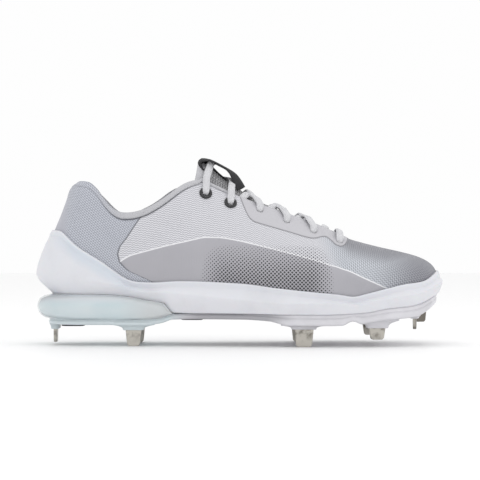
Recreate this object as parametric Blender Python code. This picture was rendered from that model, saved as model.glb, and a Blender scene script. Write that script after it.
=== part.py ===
"""A low metal-stud baseball cleat, right shoe. X runs from heel to toe, -Y is the lateral side, +Z is up.

The whole shoe hangs on one set of ribs: upright half sections that fan round the heel, stand square across
the waist and fan round the toe. Every shell and sole piece is a row of points on each rib.
"""

import math

import bmesh
import bpy
import numpy as np
from mathutils import Matrix, Vector

for old in list(bpy.data.objects):
    bpy.data.objects.remove(old, do_unlink=True)

# Overall sizes, in metres.
LENGTH = 0.300
BALL_WIDTH = 0.106
HEEL_WIDTH = 0.072
GAP = 0.0003

# Heights above the floor.
STUD_HEIGHT = 0.0115
SOLE_HEIGHT = 0.0297
HEEL_HEIGHT = 0.1206
INSTEP_HEIGHT = 0.1225
CUP_HEIGHT = 0.0834

# Walls.
UPPER_WALL = 0.0022
COLLAR_PAD = 0.0040
EYESTAY_STEP = 0.0008
CUP_WALL = 0.0030
TOE_BUMPER = 0.0041
LIP_WALL = 0.0020
LIP_HEIGHT = 0.0036
FEATHER_TUCK = 0.0045
INSOLE_THICK = 0.0036
TONGUE_THICK = 0.0042
TONGUE_ROWS = 15
TONGUE_EDGE = 0.75

# Lacing.
EYELET_RADIUS = 0.0023
TOP_EYELET_RADIUS = 0.0031
RING_WALL = 0.0014
LACE_WIDTH = 0.0054
LACE_THICK = 0.0022
LACE_CLEAR = 0.0010
TOE_BAR_ROOM = 0.0095
DIVE = 0.0075
TUCKED = 0.0035
BAND_THICK = 0.0016
TONGUE_CLEAR = 0.0007

# Studs.
BLADE_THICK = 0.0024
BLADE_ROOT = 0.0020
BLADE_TAPER = 0.84
CORNER = 0.0022
CORNER_TURNS = (1.57, 0.9, 0.35)
BOSS_BED = 0.0016
BOSS_MARGIN = 0.0030
BOSS_FOOT = 0.7
BOSS_ROOT = (1.2, 1.3)
RIB_RISE = 0.0012
RIB_START = 0.55
RIB_END = 0.66
PLATE_ROUND = (0.0016, 0.0014)

# Sole pieces: where their inner rings of points stand as shares of the width, and clearances in GAPs.
INNER_RING = 0.55
CUP_CLEAR = 1.35
INSOLE_CLEAR = 3.0
INSOLE_SIDE = 0.7
INSOLE_ROUND = 0.0012
INSOLE_CROWN = 0.92

# The carrier's side: how high the bulge stands over the footbed, its least distances, how it draws in.
BULGE_SHARE = 0.24
BULGE_LEAST = 0.008
BULGE_BELOW_LIP = 0.0060
LIP_ROUND = 0.0010
LIP_SHOULDER = 0.0006
LIP_STEP = 0.75
LIP_CREST = 0.6
DRAW_IN = ((0.50, 0.38), (1.0, 1.0))

# The air unit's side: how far it stands back as a share of the carrier's inset, and the share of its height.
AIR_SIDE = ((0.35, 0.02), (0.12, 0.22), (0.05, 0.50), (0.16, 0.80), (0.75, 1.00))

# Where the two fans of ribs have their centres, and how square each end is in plan.
HEEL_CENTRE = -0.373 * LENGTH
TOE_CENTRE = 0.350 * LENGTH
HEEL_POWER = 2.2
TOE_POWER = 2.0
TOE_SQUARE_POWER = 5.0
TOE_CROWN_POWER = 2.7
TOE_DROP = 0.22
HEEL_RIBS = 7
WAIST_RIBS = 23
TOE_RIBS = 8

# Sole outline: x in lengths, half widths to each side as shares of the width named in the last column.
OUTLINE = [
    # x, lateral, medial, width
    (-0.373, 0.500, 0.500, HEEL_WIDTH),
    (-0.233, 0.500, 0.475, HEEL_WIDTH),
    (-0.100, 0.535, 0.470, HEEL_WIDTH),
    (0.033, 0.434, 0.370, BALL_WIDTH),
    (0.150, 0.488, 0.442, BALL_WIDTH),
    (0.233, 0.500, 0.500, BALL_WIDTH),
    (0.300, 0.484, 0.498, BALL_WIDTH),
    (0.350, 0.458, 0.488, BALL_WIDTH),
]

# The ridge over the foot: x in lengths, shift to the medial side in ball widths, height in instep heights,
# height of the widest point in sole heights, and the power of the section (2 is an ellipse, less is peaked).
SECTIONS = [
    # x, shift, ridge, widest, power
    (-0.373, 0.000, 1.190, 1.60, 1.90),
    (-0.327, 0.000, 1.350, 1.60, 1.90),
    (-0.267, 0.000, 1.430, 1.58, 1.90),
    (-0.200, 0.000, 1.390, 1.55, 1.86),
    (-0.133, 0.000, 1.210, 1.52, 1.76),
    (-0.090, 0.000, 1.118, 1.50, 1.70),
    (-0.023, 0.005, 1.000, 1.46, 1.70),
    (0.027, 0.012, 0.914, 1.42, 1.70),
    (0.087, 0.021, 0.849, 1.38, 1.60),
    (0.147, 0.029, 0.788, 1.34, 1.55),
    (0.187, 0.034, 0.743, 1.32, 1.58),
    (0.243, 0.040, 0.669, 1.30, 1.75),
    (0.263, 0.042, 0.640, 1.28, 1.85),
    (0.300, 0.045, 0.612, 1.25, 2.00),
    (0.350, 0.047, 0.581, 1.22, 2.15),
]

# Back of the heel: height in heel heights, reach behind the heel centre in heel widths.
HEEL_CURVE = [
    (0.330, 0.440), (0.400, 0.478), (0.450, 0.472), (0.540, 0.442), (0.700, 0.340),
    (0.776, 0.288), (0.875, 0.220), (0.947, 0.182), (0.985, 0.142), (1.020, 0.100),
]

# Top line of the collar: x in lengths, height in heel heights.
COLLAR = [
    (-0.500, 0.985), (-0.406, 0.988), (-0.388, 1.002), (-0.361, 0.985), (-0.347, 0.951), (-0.336, 0.911),
    (-0.322, 0.863), (-0.307, 0.828), (-0.290, 0.804), (-0.272, 0.801), (-0.250, 0.808), (-0.226, 0.828),
    (-0.197, 0.867), (-0.169, 0.916), (-0.144, 0.964), (-0.122, 0.991), (-0.095, 1.003),
]

# Throat: x in lengths, half width as a share of the upper's half width on each side.
THROAT = [(-0.095, 0.500), (-0.023, 0.450), (0.047, 0.358), (0.113, 0.294), (0.177, 0.256), (0.217, 0.238)]
THROAT_BACK = THROAT[0][0] * LENGTH
THROAT_ROUND = THROAT[-1][0] * LENGTH
THROAT_END = 0.263 * LENGTH

# Lower edge of the padded cuff and, from the waist forward, of the eyestay: x in lengths, height in
# instep heights.
BAND_EDGE = [
    (-0.095, 0.885), (-0.023, 0.800), (0.010, 0.762), (0.067, 0.709), (0.117, 0.674), (0.167, 0.637),
    (0.213, 0.612), (0.240, 0.586), (0.263, 0.588),
]
CUFF_DEPTH = 0.0090

# The medial collar falls this much sooner than the lateral one, between these places.
MEDIAL_DROP = 0.0040
FALL_BACK = (-0.400 * LENGTH, -0.370 * LENGTH)
FALL_FRONT = (-0.300 * LENGTH, -0.270 * LENGTH)
EYESTAY_BACK = 0.000 * LENGTH
EYESTAY_FADE = 0.012 * LENGTH

# Top edge of the sole's cup: x in lengths, height in cup heights.
CUP_EDGE = [
    (-0.500, 1.010), (-0.450, 1.000), (-0.395, 0.870), (-0.337, 0.743), (-0.250, 0.560), (-0.210, 0.554),
    (-0.147, 0.566), (0.000, 0.547), (0.087, 0.508), (0.170, 0.476), (0.248, 0.448), (0.267, 0.434),
    (0.305, 0.464), (0.340, 0.495), (0.393, 0.540), (0.447, 0.564), (0.479, 0.621), (0.500, 0.656),
]

# Layers of the sole: x in lengths, then heights above the stud bosses in sole heights.
LAYERS = [
    # x, plate bottom, plate top, carrier underside, footbed
    (-0.500, 0.128, 0.263, 0.870, 1.000),
    (-0.330, 0.128, 0.263, 0.865, 1.000),
    (-0.275, 0.128, 0.263, 0.825, 0.987),
    (-0.235, 0.132, 0.267, 0.755, 0.945),
    (-0.205, 0.150, 0.285, 0.705, 0.905),
    (-0.184, 0.190, 0.325, 0.660, 0.870),
    (-0.163, 0.262, 0.397, 0.440, 0.835),
    (-0.100, 0.273, 0.407, 0.418, 0.745),
    (0.000, 0.273, 0.407, 0.418, 0.630),
    (0.067, 0.240, 0.400, 0.411, 0.560),
    (0.117, 0.131, 0.390, 0.401, 0.530),
    (0.200, 0.131, 0.390, 0.401, 0.520),
    (0.243, 0.140, 0.404, 0.415, 0.535),
    (0.268, 0.240, 0.418, 0.429, 0.544),
    (0.292, 0.170, 0.434, 0.445, 0.556),
    (0.300, 0.190, 0.440, 0.451, 0.560),
    (0.350, 0.270, 0.530, 0.541, 0.650),
    (0.420, 0.330, 0.610, 0.621, 0.760),
    (0.500, 0.760, 0.920, 0.931, 1.020),
]

# How far the sole's side draws in under the outline: x in lengths, insets in heel widths.
INSETS = [
    # x, carrier bottom, plate
    (-0.500, 0.175, 0.130),
    (-0.465, 0.135, 0.115),
    (-0.420, 0.092, 0.085),
    (-0.370, 0.076, 0.070),
    (-0.320, 0.070, 0.062),
    (-0.230, 0.062, 0.055),
    (-0.163, 0.050, 0.060),
    (0.000, 0.030, 0.060),
    (0.117, 0.016, 0.026),
    (0.350, 0.020, 0.030),
    (0.500, 0.035, 0.065),
]
AIR_FRONT = -0.163 * LENGTH

# Tongue: place along the shoe in lengths, height of its front face in instep heights, half width as a share
# of the upper's, thickness in tongue thicknesses.
TONGUE = [
    # x, height, half width, thickness
    (0.248, 0.625, 0.310, 0.60),
    (0.187, 0.705, 0.400, 0.75),
    (0.147, 0.750, 0.440, 0.85),
    (0.087, 0.812, 0.490, 1.00),
    (0.027, 0.882, 0.570, 1.05),
    (-0.012, 0.950, 0.650, 1.20),
    (-0.050, 1.022, 0.700, 1.50),
    (-0.080, 1.092, 0.670, 1.55),
    (-0.097, 1.118, 0.570, 1.35),
]

# Eyelets, from the ankle to the toe: x in lengths, distance from the ridge line in half widths of the upper.
EYELETS = [(-0.083, 0.638), (-0.023, 0.602), (0.047, 0.495), (0.113, 0.485), (0.177, 0.510), (0.240, 0.555)]
TOP_EYELETS = 2

# Label band that keeps the laces: ends in lengths, half width in ball widths, room for laces at its front.
BAND_FRONT = -0.008 * LENGTH
BAND_BACK = -0.088 * LENGTH
BAND_HALF = 0.090 * BALL_WIDTH
BAND_ROOM = 0.0078
BAND_SAG = 0.0015

# Studs: x in lengths, y and blade width in ball widths, foot and boss face above the floor in stud heights,
# turn in degrees.
STUDS = {
    "stud_heel_back": (-0.453, 0.000, 0.115, 0.148, 1.000, 90),
    "stud_heel_lateral": (-0.257, -0.245, 0.108, 0.000, 1.000, 0),
    "stud_heel_medial": (-0.257, 0.235, 0.108, 0.000, 1.000, 0),
    "stud_ball_lateral": (0.153, -0.365, 0.132, 0.000, 1.087, 0),
    "stud_ball_medial": (0.153, 0.345, 0.132, 0.000, 1.087, 0),
    "stud_fore_lateral": (0.329, -0.330, 0.113, 0.443, 1.157, 8),
    "stud_fore_medial": (0.329, 0.330, 0.113, 0.443, 1.157, -8),
    "stud_toe_lateral": (0.424, -0.185, 0.100, 1.040, 1.720, 82),
    "stud_toe_medial": (0.446, 0.105, 0.100, 1.390, 1.880, 24),
}


def curve(table, column, scale=1.0, x_scale=LENGTH):
    """A smooth curve through two columns of a table that never overshoots its rows (monotone cubic)."""
    rows = sorted((row[0] * x_scale, row[column] * scale) for row in table)
    xs = np.array([row[0] for row in rows])
    ys = np.array([row[1] for row in rows])
    step = np.diff(xs)
    slope = np.diff(ys) / step
    tangent = np.concatenate([slope[:1], np.zeros(len(slope) - 1), slope[-1:]])
    rising = slope[:-1] * slope[1:] > 0
    near, far = 2 * step[1:] + step[:-1], step[1:] + 2 * step[:-1]
    safe = np.where(rising, slope[:-1], 1.0), np.where(rising, slope[1:], 1.0)
    tangent[1:-1] = np.where(rising, (near + far) / (near / safe[0] + far / safe[1]), 0.0)

    def value(x):
        x = np.clip(np.asarray(x, float), xs[0], xs[-1])
        i = np.clip(np.searchsorted(xs, x) - 1, 0, len(step) - 1)
        t = (x - xs[i]) / step[i]
        keep = (1 + 2 * t) * (1 - t) ** 2 * ys[i] + t * t * (3 - 2 * t) * ys[i + 1]
        bend = t * (1 - t) ** 2 * tangent[i] - t * t * (1 - t) * tangent[i + 1]
        return keep + step[i] * bend

    return value


def eased(x, start, end):
    """A smooth step from 0 at start to 1 at end."""
    t = np.clip((np.asarray(x, float) - start) / (end - start), 0, 1)
    return t * t * (3 - 2 * t)


ridge_shift = curve(SECTIONS, 1, BALL_WIDTH)
ridge_height = curve(SECTIONS, 2, INSTEP_HEIGHT)
section_power = curve(SECTIONS, 4)
heel_reach = curve(HEEL_CURVE, 1, HEEL_WIDTH, HEEL_HEIGHT)
collar_height = curve(COLLAR, 1, HEEL_HEIGHT)
throat_share = curve(THROAT, 1)
band_height = curve(BAND_EDGE, 1, INSTEP_HEIGHT)
cup_edge = curve(CUP_EDGE, 1, CUP_HEIGHT)
carrier_inset = curve(INSETS, 1, HEEL_WIDTH)
plate_inset = curve(INSETS, 2, HEEL_WIDTH)
tongue_height = curve(TONGUE, 1, INSTEP_HEIGHT)
tongue_share = curve(TONGUE, 2)


def layer(column):
    """Height above the floor of one layer of the sole."""
    share = curve(LAYERS, column, SOLE_HEIGHT)
    return lambda x: STUD_HEIGHT + share(x)


plate_bottom, plate_top, carrier_under, footbed = (layer(column) for column in (1, 2, 3, 4))


def widest_height(x):
    """Height of the widest point of the upper."""
    return STUD_HEIGHT + curve(SECTIONS, 3, SOLE_HEIGHT)(x)


def half_width(x, side):
    """Half width of the sole's outline from the ridge line to the lateral (-1) or medial (1) side."""
    rows = [(row[0], (row[1] if side < 0 else row[2]) * row[3]) for row in OUTLINE]
    return curve(rows, 1)(x) - side * ridge_shift(x)


def make_ribs():
    """Ribs all round the shoe from the back of the heel, along the lateral side to the toe and back medially.

    Columns: station x, foot y on the ridge line, direction x and y, side, part (0 heel, 1 waist, 2 toe), and
    the angle in the fan, from 0 straight back or forward to a quarter turn.
    """
    stations = list(np.linspace(HEEL_CENTRE, TOE_CENTRE, WAIST_RIBS + 1))
    stations += [AIR_FRONT]
    stations += list(THROAT_ROUND + (THROAT_END - THROAT_ROUND) * np.array([0.35, 0.70, 0.92, 0.985, 1.0]))
    side_ribs = []
    for k in range(HEEL_RIBS):
        side_ribs.append((HEEL_CENTRE, 0, k / HEEL_RIBS * math.pi / 2))
    for station in sorted(stations):
        side_ribs.append((station, 1, math.pi / 2))
    for k in range(1, TOE_RIBS + 1):
        side_ribs.append((TOE_CENTRE, 2, (1 - k / TOE_RIBS) * math.pi / 2))
    ribs = []
    for side, rows in ((-1, side_ribs), (1, side_ribs[-2:0:-1])):
        for station, part, angle in rows:
            along = {0: -1, 1: 0, 2: 1}[part] * math.cos(angle)
            across = side * math.sin(angle)
            ribs.append((station, float(ridge_shift(station)), along, across, side, part, angle))
    return np.array(ribs)


RIBS = make_ribs()
STATION, FOOT_Y, ALONG, ACROSS, SIDE, PART, ANGLE = RIBS.T
COUNT = len(RIBS)


def fan_radius(reach, width):
    """Distance from the ridge line to a plan outline that is a quarter superellipse in each fan."""
    power = np.where(PART == 0, HEEL_POWER, TOE_POWER)
    round_part = (np.abs(np.cos(ANGLE)) / reach) ** power + (np.abs(np.sin(ANGLE)) / width) ** power
    return np.where(PART == 1, width, round_part ** (-1 / power))


WIDTHS = np.where(SIDE < 0, half_width(STATION, -1), half_width(STATION, 1))
REACH = np.where(PART == 0, LENGTH / 2 + HEEL_CENTRE, LENGTH / 2 - TOE_CENTRE)
OUTER = fan_radius(REACH, WIDTHS)
WIDEST = widest_height(STATION)
RISE = ridge_height(STATION) - WIDEST
POWER = section_power(STATION)
UPPER_WIDTH = WIDTHS - CUP_WALL - GAP
TIP_REACH = LENGTH / 2 - TOE_CENTRE - TOE_BUMPER - GAP
BASE = fan_radius(np.where(PART == 2, TIP_REACH, heel_reach(WIDEST)), UPPER_WIDTH)
OUTER_X = STATION + OUTER * ALONG
FOOTBED = footbed(STATION + BASE * ALONG)
TOE_SQUARE = np.where(PART == 2, POWER + (TOE_SQUARE_POWER - POWER) * np.cos(ANGLE) ** 2, POWER)
TOE_CROWN = np.where(PART == 2, POWER + (TOE_CROWN_POWER - POWER) * np.cos(ANGLE) ** 2, POWER)
TOE_FALL = np.where(PART == 2, TOE_DROP * np.cos(ANGLE), 0.0)


def upper_radius(z, ribs=slice(None)):
    """Outer face of the upper at height z on each rib, as the distance from the ridge line."""
    z = np.asarray(z, float)
    low = np.clip((WIDEST[ribs] - z) / (WIDEST[ribs] - FOOTBED[ribs]), 0, 1)
    tuck = FEATHER_TUCK * low ** 2
    up = np.clip((z - WIDEST[ribs]) / RISE[ribs], 0, 1)
    side_width = UPPER_WIDTH[ribs] * (1 - up ** POWER[ribs]) ** (1 / POWER[ribs])
    angle = ANGLE[ribs]
    heel = (np.cos(angle) / heel_reach(z)) ** HEEL_POWER
    heel = heel + (np.sin(angle) / np.maximum(side_width, 1e-4)) ** HEEL_POWER
    heel = heel ** (-1 / HEEL_POWER)
    base = BASE[ribs]
    toe = base.copy() * np.ones_like(z)
    for _ in range(12):
        height = RISE[ribs] - TOE_FALL[ribs] * toe
        share = np.clip((z - WIDEST[ribs]) / np.maximum(height, 1e-4), 0, 1)
        toe = 0.5 * toe + 0.5 * base * (1 - share ** TOE_CROWN[ribs]) ** (1 / TOE_SQUARE[ribs])
    part = PART[ribs]
    return np.where(part == 0, heel, np.where(part == 1, side_width, toe)) - tuck


def top_height():
    """Height where each rib's outer face ends: collar, throat edge, or the closed ridge of the toe."""
    x = STATION
    rim_x = STATION + heel_reach(HEEL_HEIGHT * 0.98) * ALONG
    falling = eased(rim_x, *FALL_BACK) * (1 - eased(rim_x, *FALL_FRONT))
    collar = collar_height(rim_x + np.where(SIDE > 0, MEDIAL_DROP, 0) * falling)
    rounding = np.sqrt(np.clip(1 - ((x - THROAT_ROUND) / (THROAT_END - THROAT_ROUND)) ** 2, 0, 1))
    share = throat_share(x) * np.where(x > THROAT_ROUND, rounding, 1.0)
    throat = WIDEST + RISE * (1 - share ** POWER) ** (1 / POWER)
    closed = (PART == 2) | (x > THROAT_END - 1e-6)
    return np.where(closed, WIDEST + RISE, np.where(x < THROAT_BACK, collar, throat)), closed


TOP, CLOSED = top_height()


def band_line():
    """Height of the lower edge of the cuff, eyestay or toe band on each rib."""
    cuff = TOP - CUFF_DEPTH
    toe = WIDEST + 0.80 * RISE
    blend = eased(STATION, THROAT_BACK - 0.010, THROAT_BACK + 0.002)
    line = cuff * (1 - blend) + band_height(STATION) * blend
    ahead = eased(STATION, THROAT_END - 0.001, THROAT_END + 0.014)
    line = line * (1 - ahead) + toe * ahead
    return np.minimum(line, TOP - 0.0030)


BAND = band_line()
CUFF = 1 - eased(STATION, THROAT_BACK - 0.022, THROAT_BACK)
EYESTAY = eased(STATION, EYESTAY_BACK, EYESTAY_BACK + EYESTAY_FADE)
EYESTAY = EYESTAY * (1 - eased(STATION, THROAT_END - 0.002, THROAT_END + 0.004))


def plan(radius):
    """World x and y of a distance from the ridge line on each rib."""
    return STATION + radius * ALONG, FOOT_Y + radius * ACROSS


def sweep_angle(z):
    """Section angle at height z: 0 at the widest point, a quarter turn at the ridge."""
    share = np.clip((z - WIDEST) / RISE, 0, 1)
    return np.arcsin(share ** (POWER / 2))


LOW_ROWS = 3
SIDE_ROWS = 5
BAND_ROWS = (0.12, 0.55, 1.0)


def low_heights():
    """Heights of the rows from the feather edge up to the widest point."""
    start = FOOTBED + GAP
    return [start + (WIDEST - start) * k / LOW_ROWS for k in range(LOW_ROWS)]


def upper_rows():
    """Rows of the upper's outer face: radius, height and how much of the band's step stands on each row."""
    rows = [(upper_radius(z), z, 0.0) for z in low_heights()]
    top, band = sweep_angle(TOP), sweep_angle(BAND)
    angles = [(band * k / SIDE_ROWS, 0.0) for k in range(SIDE_ROWS + 1)]
    angles += [(band + (top - band) * share, 1.0) for share in BAND_ROWS]
    for angle, step in angles:
        share = np.sin(angle) ** (2 / POWER)
        z = WIDEST + RISE * share
        radius = upper_radius(z)
        toe_radius = BASE * np.maximum(np.cos(angle), 0) ** (2 / TOE_SQUARE)
        toe_z = WIDEST + (RISE - TOE_FALL * toe_radius) * np.sin(angle) ** (2 / TOE_CROWN)
        radius = np.where(PART == 2, toe_radius, radius)
        z = np.where(PART == 2, toe_z, z)
        rows.append((radius, z, step))
    return rows


def closed_mesh(name, points, faces):
    """A mesh from points and faces, with its doubles merged and its faces turned outwards."""
    mesh = bpy.data.meshes.new(name)
    mesh.from_pydata([tuple(map(float, p)) for p in points], [], [tuple(map(int, f)) for f in faces])
    made = bmesh.new()
    made.from_mesh(mesh)
    bmesh.ops.remove_doubles(made, verts=made.verts, dist=2e-6)
    bmesh.ops.dissolve_degenerate(made, edges=made.edges, dist=1e-6)
    bmesh.ops.holes_fill(made, edges=made.edges, sides=0)
    bmesh.ops.triangulate(made, faces=made.faces)
    bmesh.ops.recalc_face_normals(made, faces=made.faces)
    made.to_mesh(mesh)
    made.free()
    return mesh


def finish(name, mesh, colour, roughness, metallic=0.0, sharp=40):
    """The object of a sub-part with its own material."""
    obj = bpy.data.objects.new(name, mesh)
    bpy.context.scene.collection.objects.link(obj)
    material = bpy.data.materials.new(name)
    material.use_nodes = True
    shader = material.node_tree.nodes["Principled BSDF"]
    shader.inputs["Base Color"].default_value = (*colour, 1.0)
    shader.inputs["Roughness"].default_value = roughness
    shader.inputs["Metallic"].default_value = metallic
    mesh.materials.append(material)
    mesh.shade_smooth()
    mesh.set_sharp_from_angle(angle=math.radians(sharp))
    return obj


def ring_faces(rows, count, closed_rows=False, closed_ring=True):
    """Quads between neighbouring ribs, row by row."""
    faces = []
    last = rows if closed_rows else rows - 1
    ring = count if closed_ring else count - 1
    for j in range(last):
        for i in range(ring):
            a, b = i, (i + 1) % count
            above = (j + 1) % rows
            faces.append((j * count + a, j * count + b, above * count + b, above * count + a))
    return faces


def make_upper():
    """The upper's wall: outer face, inner face offset along its normals, and the rims between them."""
    rows = upper_rows()
    count = COUNT
    points, pads = [], []
    for radius, z, step in rows:
        cuff = step * CUFF
        radius = radius + step * EYESTAY_STEP * EYESTAY
        x, y = plan(radius)
        points.append(np.stack([x, y, z], axis=1))
        pads.append(UPPER_WALL + step * EYESTAY_STEP * EYESTAY + cuff * COLLAR_PAD)
    pads[-1] = pads[-1] - CUFF * COLLAR_PAD * 0.35
    blend = len(rows) - 5
    for k in (blend, blend + 1):
        pads[k] = pads[k] + CUFF * COLLAR_PAD * (0.30 if k == blend else 0.65)
    points = np.concatenate(points)
    pads = np.concatenate(pads)
    made = bmesh.new()
    thick = made.verts.layers.float.new("thick")
    verts = [made.verts.new(p) for p in points]
    for vert, pad in zip(verts, pads):
        vert[thick] = pad
    for face in ring_faces(len(rows), count):
        made.faces.new([verts[i] for i in face])
    top = verts[-count:]
    rims = [vert for vert, shut in zip(top, CLOSED) if shut]
    bmesh.ops.remove_doubles(made, verts=rims, dist=2e-6)
    bmesh.ops.dissolve_degenerate(made, edges=made.edges, dist=1e-6)
    bmesh.ops.triangulate(made, faces=made.faces)
    bmesh.ops.recalc_face_normals(made, faces=made.faces)
    made.normal_update()
    middle = Vector((0, 0, WIDEST[0]))
    flank = Vector((0, -BALL_WIDTH / 2, WIDEST[0]))
    low = min(made.faces, key=lambda face: (face.calc_center_median() - flank).length)
    if low.normal.dot(low.calc_center_median() - middle) < 0:
        bmesh.ops.reverse_faces(made, faces=made.faces)
        made.normal_update()
    outer_faces = list(made.faces)
    inner = {}
    for vert in list(made.verts):
        inner[vert] = made.verts.new(vert.co - vert.normal * vert[thick])
    edges = [edge for edge in made.edges if edge.is_boundary]
    for face in outer_faces:
        made.faces.new([inner[v] for v in reversed(face.verts)])
    for edge in edges:
        a, b = edge.verts
        made.faces.new((a, b, inner[b], inner[a]))
    bmesh.ops.recalc_face_normals(made, faces=made.faces)
    bmesh.ops.triangulate(made, faces=made.faces)
    mesh = bpy.data.meshes.new("upper")
    made.to_mesh(mesh)
    made.free()
    return finish("upper", mesh, (0.62, 0.63, 0.65), 0.7)


def shell_solid(name, profile, colour, roughness, metallic=0.0):
    """A sole piece: profile is a list of (radius, height) arrays that starts and ends on the ridge line."""
    points = []
    for radius, z in profile:
        x, y = plan(radius)
        points.append(np.stack([x, y, z * np.ones(COUNT)], axis=1))
    faces = ring_faces(len(profile), COUNT)
    return finish(name, closed_mesh(name, np.concatenate(points), faces), colour, roughness, metallic)


CUP_TOP = cup_edge(OUTER_X)
UNDER = carrier_under(OUTER_X)
BULGE = np.maximum(FOOTBED + BULGE_SHARE * (CUP_TOP - FOOTBED), UNDER + BULGE_LEAST)
BULGE = np.minimum(BULGE, CUP_TOP - BULGE_BELOW_LIP)


def cup_inner(z):
    """Inner face of the cup: the upper's outer face and the clearance."""
    return upper_radius(z) + CUP_CLEAR * GAP


def fan_x(radius):
    """World x of a distance from the ridge line on each rib."""
    return STATION + radius * ALONG


def make_carrier():
    """The sole's cup: a footbed, walls that follow the upper, a rolled lip and a side that draws in below."""
    bed = FOOTBED
    low = cup_inner(bed)
    band = sweep_angle(BAND)
    heights = [bed] + low_heights()[1:]
    heights += [WIDEST + RISE * np.sin(band * k / SIDE_ROWS) ** (2 / POWER) for k in range(4)] + [CUP_TOP]
    inner = [(cup_inner(np.minimum(z, CUP_TOP)), np.minimum(z, CUP_TOP)) for z in heights]
    lip = CUP_TOP - LIP_HEIGHT
    fill = OUTER - cup_inner(BULGE)
    step = lip - LIP_SHOULDER
    side = [(cup_inner(step) + LIP_WALL * LIP_STEP, step), (cup_inner(BULGE) + fill, BULGE)]
    inset = carrier_inset(OUTER_X)
    under = [(OUTER - inset * draw, BULGE + (UNDER - BULGE) * down) for down, draw in DRAW_IN]
    rim = inner[-1][0]
    profile = [(0 * OUTER, footbed(STATION)), (INNER_RING * low, footbed(fan_x(INNER_RING * low)))]
    profile += inner
    profile += [(rim + LIP_WALL * LIP_CREST, CUP_TOP), (rim + LIP_WALL, CUP_TOP - LIP_ROUND)]
    profile += [(cup_inner(lip) + LIP_WALL, lip)]
    profile += side + under
    last = under[-1][0]
    half = INNER_RING * last
    profile += [(half, carrier_under(fan_x(half))), (0 * OUTER, carrier_under(STATION))]
    return shell_solid("midsole", profile, (0.80, 0.80, 0.82), 0.5)


def make_air_unit():
    """The clear air unit between plate and carrier under the heel, bulging out at the back and sides."""
    reach = AIR_FRONT + 1e-6
    keep = [i for i in range(COUNT) if SIDE[i] > 0 and STATION[i] <= reach]
    keep += [i for i in range(COUNT) if SIDE[i] < 0 and STATION[i] <= reach]
    bottom = plate_top(OUTER_X) + GAP
    top = UNDER - GAP
    edge = OUTER - carrier_inset(OUTER_X)
    inset = carrier_inset(OUTER_X)
    half = INNER_RING * edge
    profile = [(0 * OUTER, plate_top(STATION) + GAP), (half, plate_top(fan_x(half)) + GAP)]
    profile += [(OUTER - inset * draw, bottom + (top - bottom) * rise) for draw, rise in AIR_SIDE]
    profile += [(half, carrier_under(fan_x(half)) - GAP), (0 * OUTER, carrier_under(STATION) - GAP)]
    points = []
    for radius, z in profile:
        x, y = plan(radius)
        points.append(np.stack([x, y, z * np.ones(COUNT)], axis=1)[keep])
    faces = ring_faces(len(profile), len(keep), closed_ring=False)
    mesh = closed_mesh("air_unit", np.concatenate(points), faces)
    return finish("air_unit", mesh, (0.72, 0.84, 0.86), 0.15)


def make_insole():
    """The insole: a flat pad on the footbed, inside the upper's feather edge."""
    low = cup_inner(FOOTBED)
    edge = low - CUP_CLEAR * GAP - UPPER_WALL - INSOLE_CLEAR * GAP
    half = INNER_RING * low
    bed = footbed(fan_x(half))
    share = (edge - half) / (low - half)
    edge_bed = bed + (FOOTBED - bed) * share
    rows = [(0 * low, footbed(STATION) + GAP), (half, bed + GAP), (edge, edge_bed + GAP)]
    rows += [(edge, edge_bed + GAP + INSOLE_SIDE * INSOLE_THICK)]
    rows += [(edge - INSOLE_ROUND, edge_bed + GAP + INSOLE_THICK)]
    crown = GAP + INSOLE_CROWN * INSOLE_THICK
    rows += [(half, bed + crown), (0 * low, footbed(STATION) + crown)]
    return shell_solid("insole", rows, (0.10, 0.10, 0.11), 0.8)


def box_mesh(bottom, top, size_low, size_high, round_share=0.3):
    """An eight-sided block between two heights, with its lower and upper half sizes along x and y."""
    points = []
    for z, (sx, sy) in ((bottom, size_low), (top, size_high)):
        cut = round_share * min(sx, sy) * 2
        for px, py in ((1, 1), (-1, 1), (-1, -1), (1, -1)):
            first = (px * sx, py * (sy - cut)), (px * (sx - cut), py * sy)
            points += [(x, y, z) for x, y in (first if px * py > 0 else first[::-1])]
    return points


def block_faces(start):
    """Sides and ends of an eight-sided block whose points begin at start."""
    faces = [tuple(start + i for i in range(7, -1, -1)), tuple(start + 8 + i for i in range(8))]
    for i in range(8):
        j = (i + 1) % 8
        faces.append((start + i, start + j, start + 8 + j, start + 8 + i))
    return faces


def stud_place(row):
    """Place and turn of a stud as a matrix at the floor."""
    x, y, _, _, _, turn = row
    return Matrix.Translation((x * LENGTH, y * BALL_WIDTH, 0)) @ Matrix.Rotation(math.radians(turn), 4, "Z")


def joined_blocks(name, blocks):
    """One mesh object from blocks of points, used to add to or cut the plate."""
    points, faces = [], []
    for place, block in blocks:
        faces += block_faces(len(points))
        points += [tuple(place @ Vector(p)) for p in block]
    mesh = bpy.data.meshes.new(name)
    mesh.from_pydata(points, [], faces)
    made = bmesh.new()
    made.from_mesh(mesh)
    bmesh.ops.recalc_face_normals(made, faces=made.faces)
    made.to_mesh(mesh)
    made.free()
    obj = bpy.data.objects.new(name, mesh)
    bpy.context.scene.collection.objects.link(obj)
    obj.hide_render = True
    obj.display_type = "WIRE"
    return obj


def combine(obj, other, operation):
    """A live exact Boolean on obj."""
    modifier = obj.modifiers.new(other.name, "BOOLEAN")
    modifier.operation = operation
    modifier.object = other
    modifier.solver = "EXACT"


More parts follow.
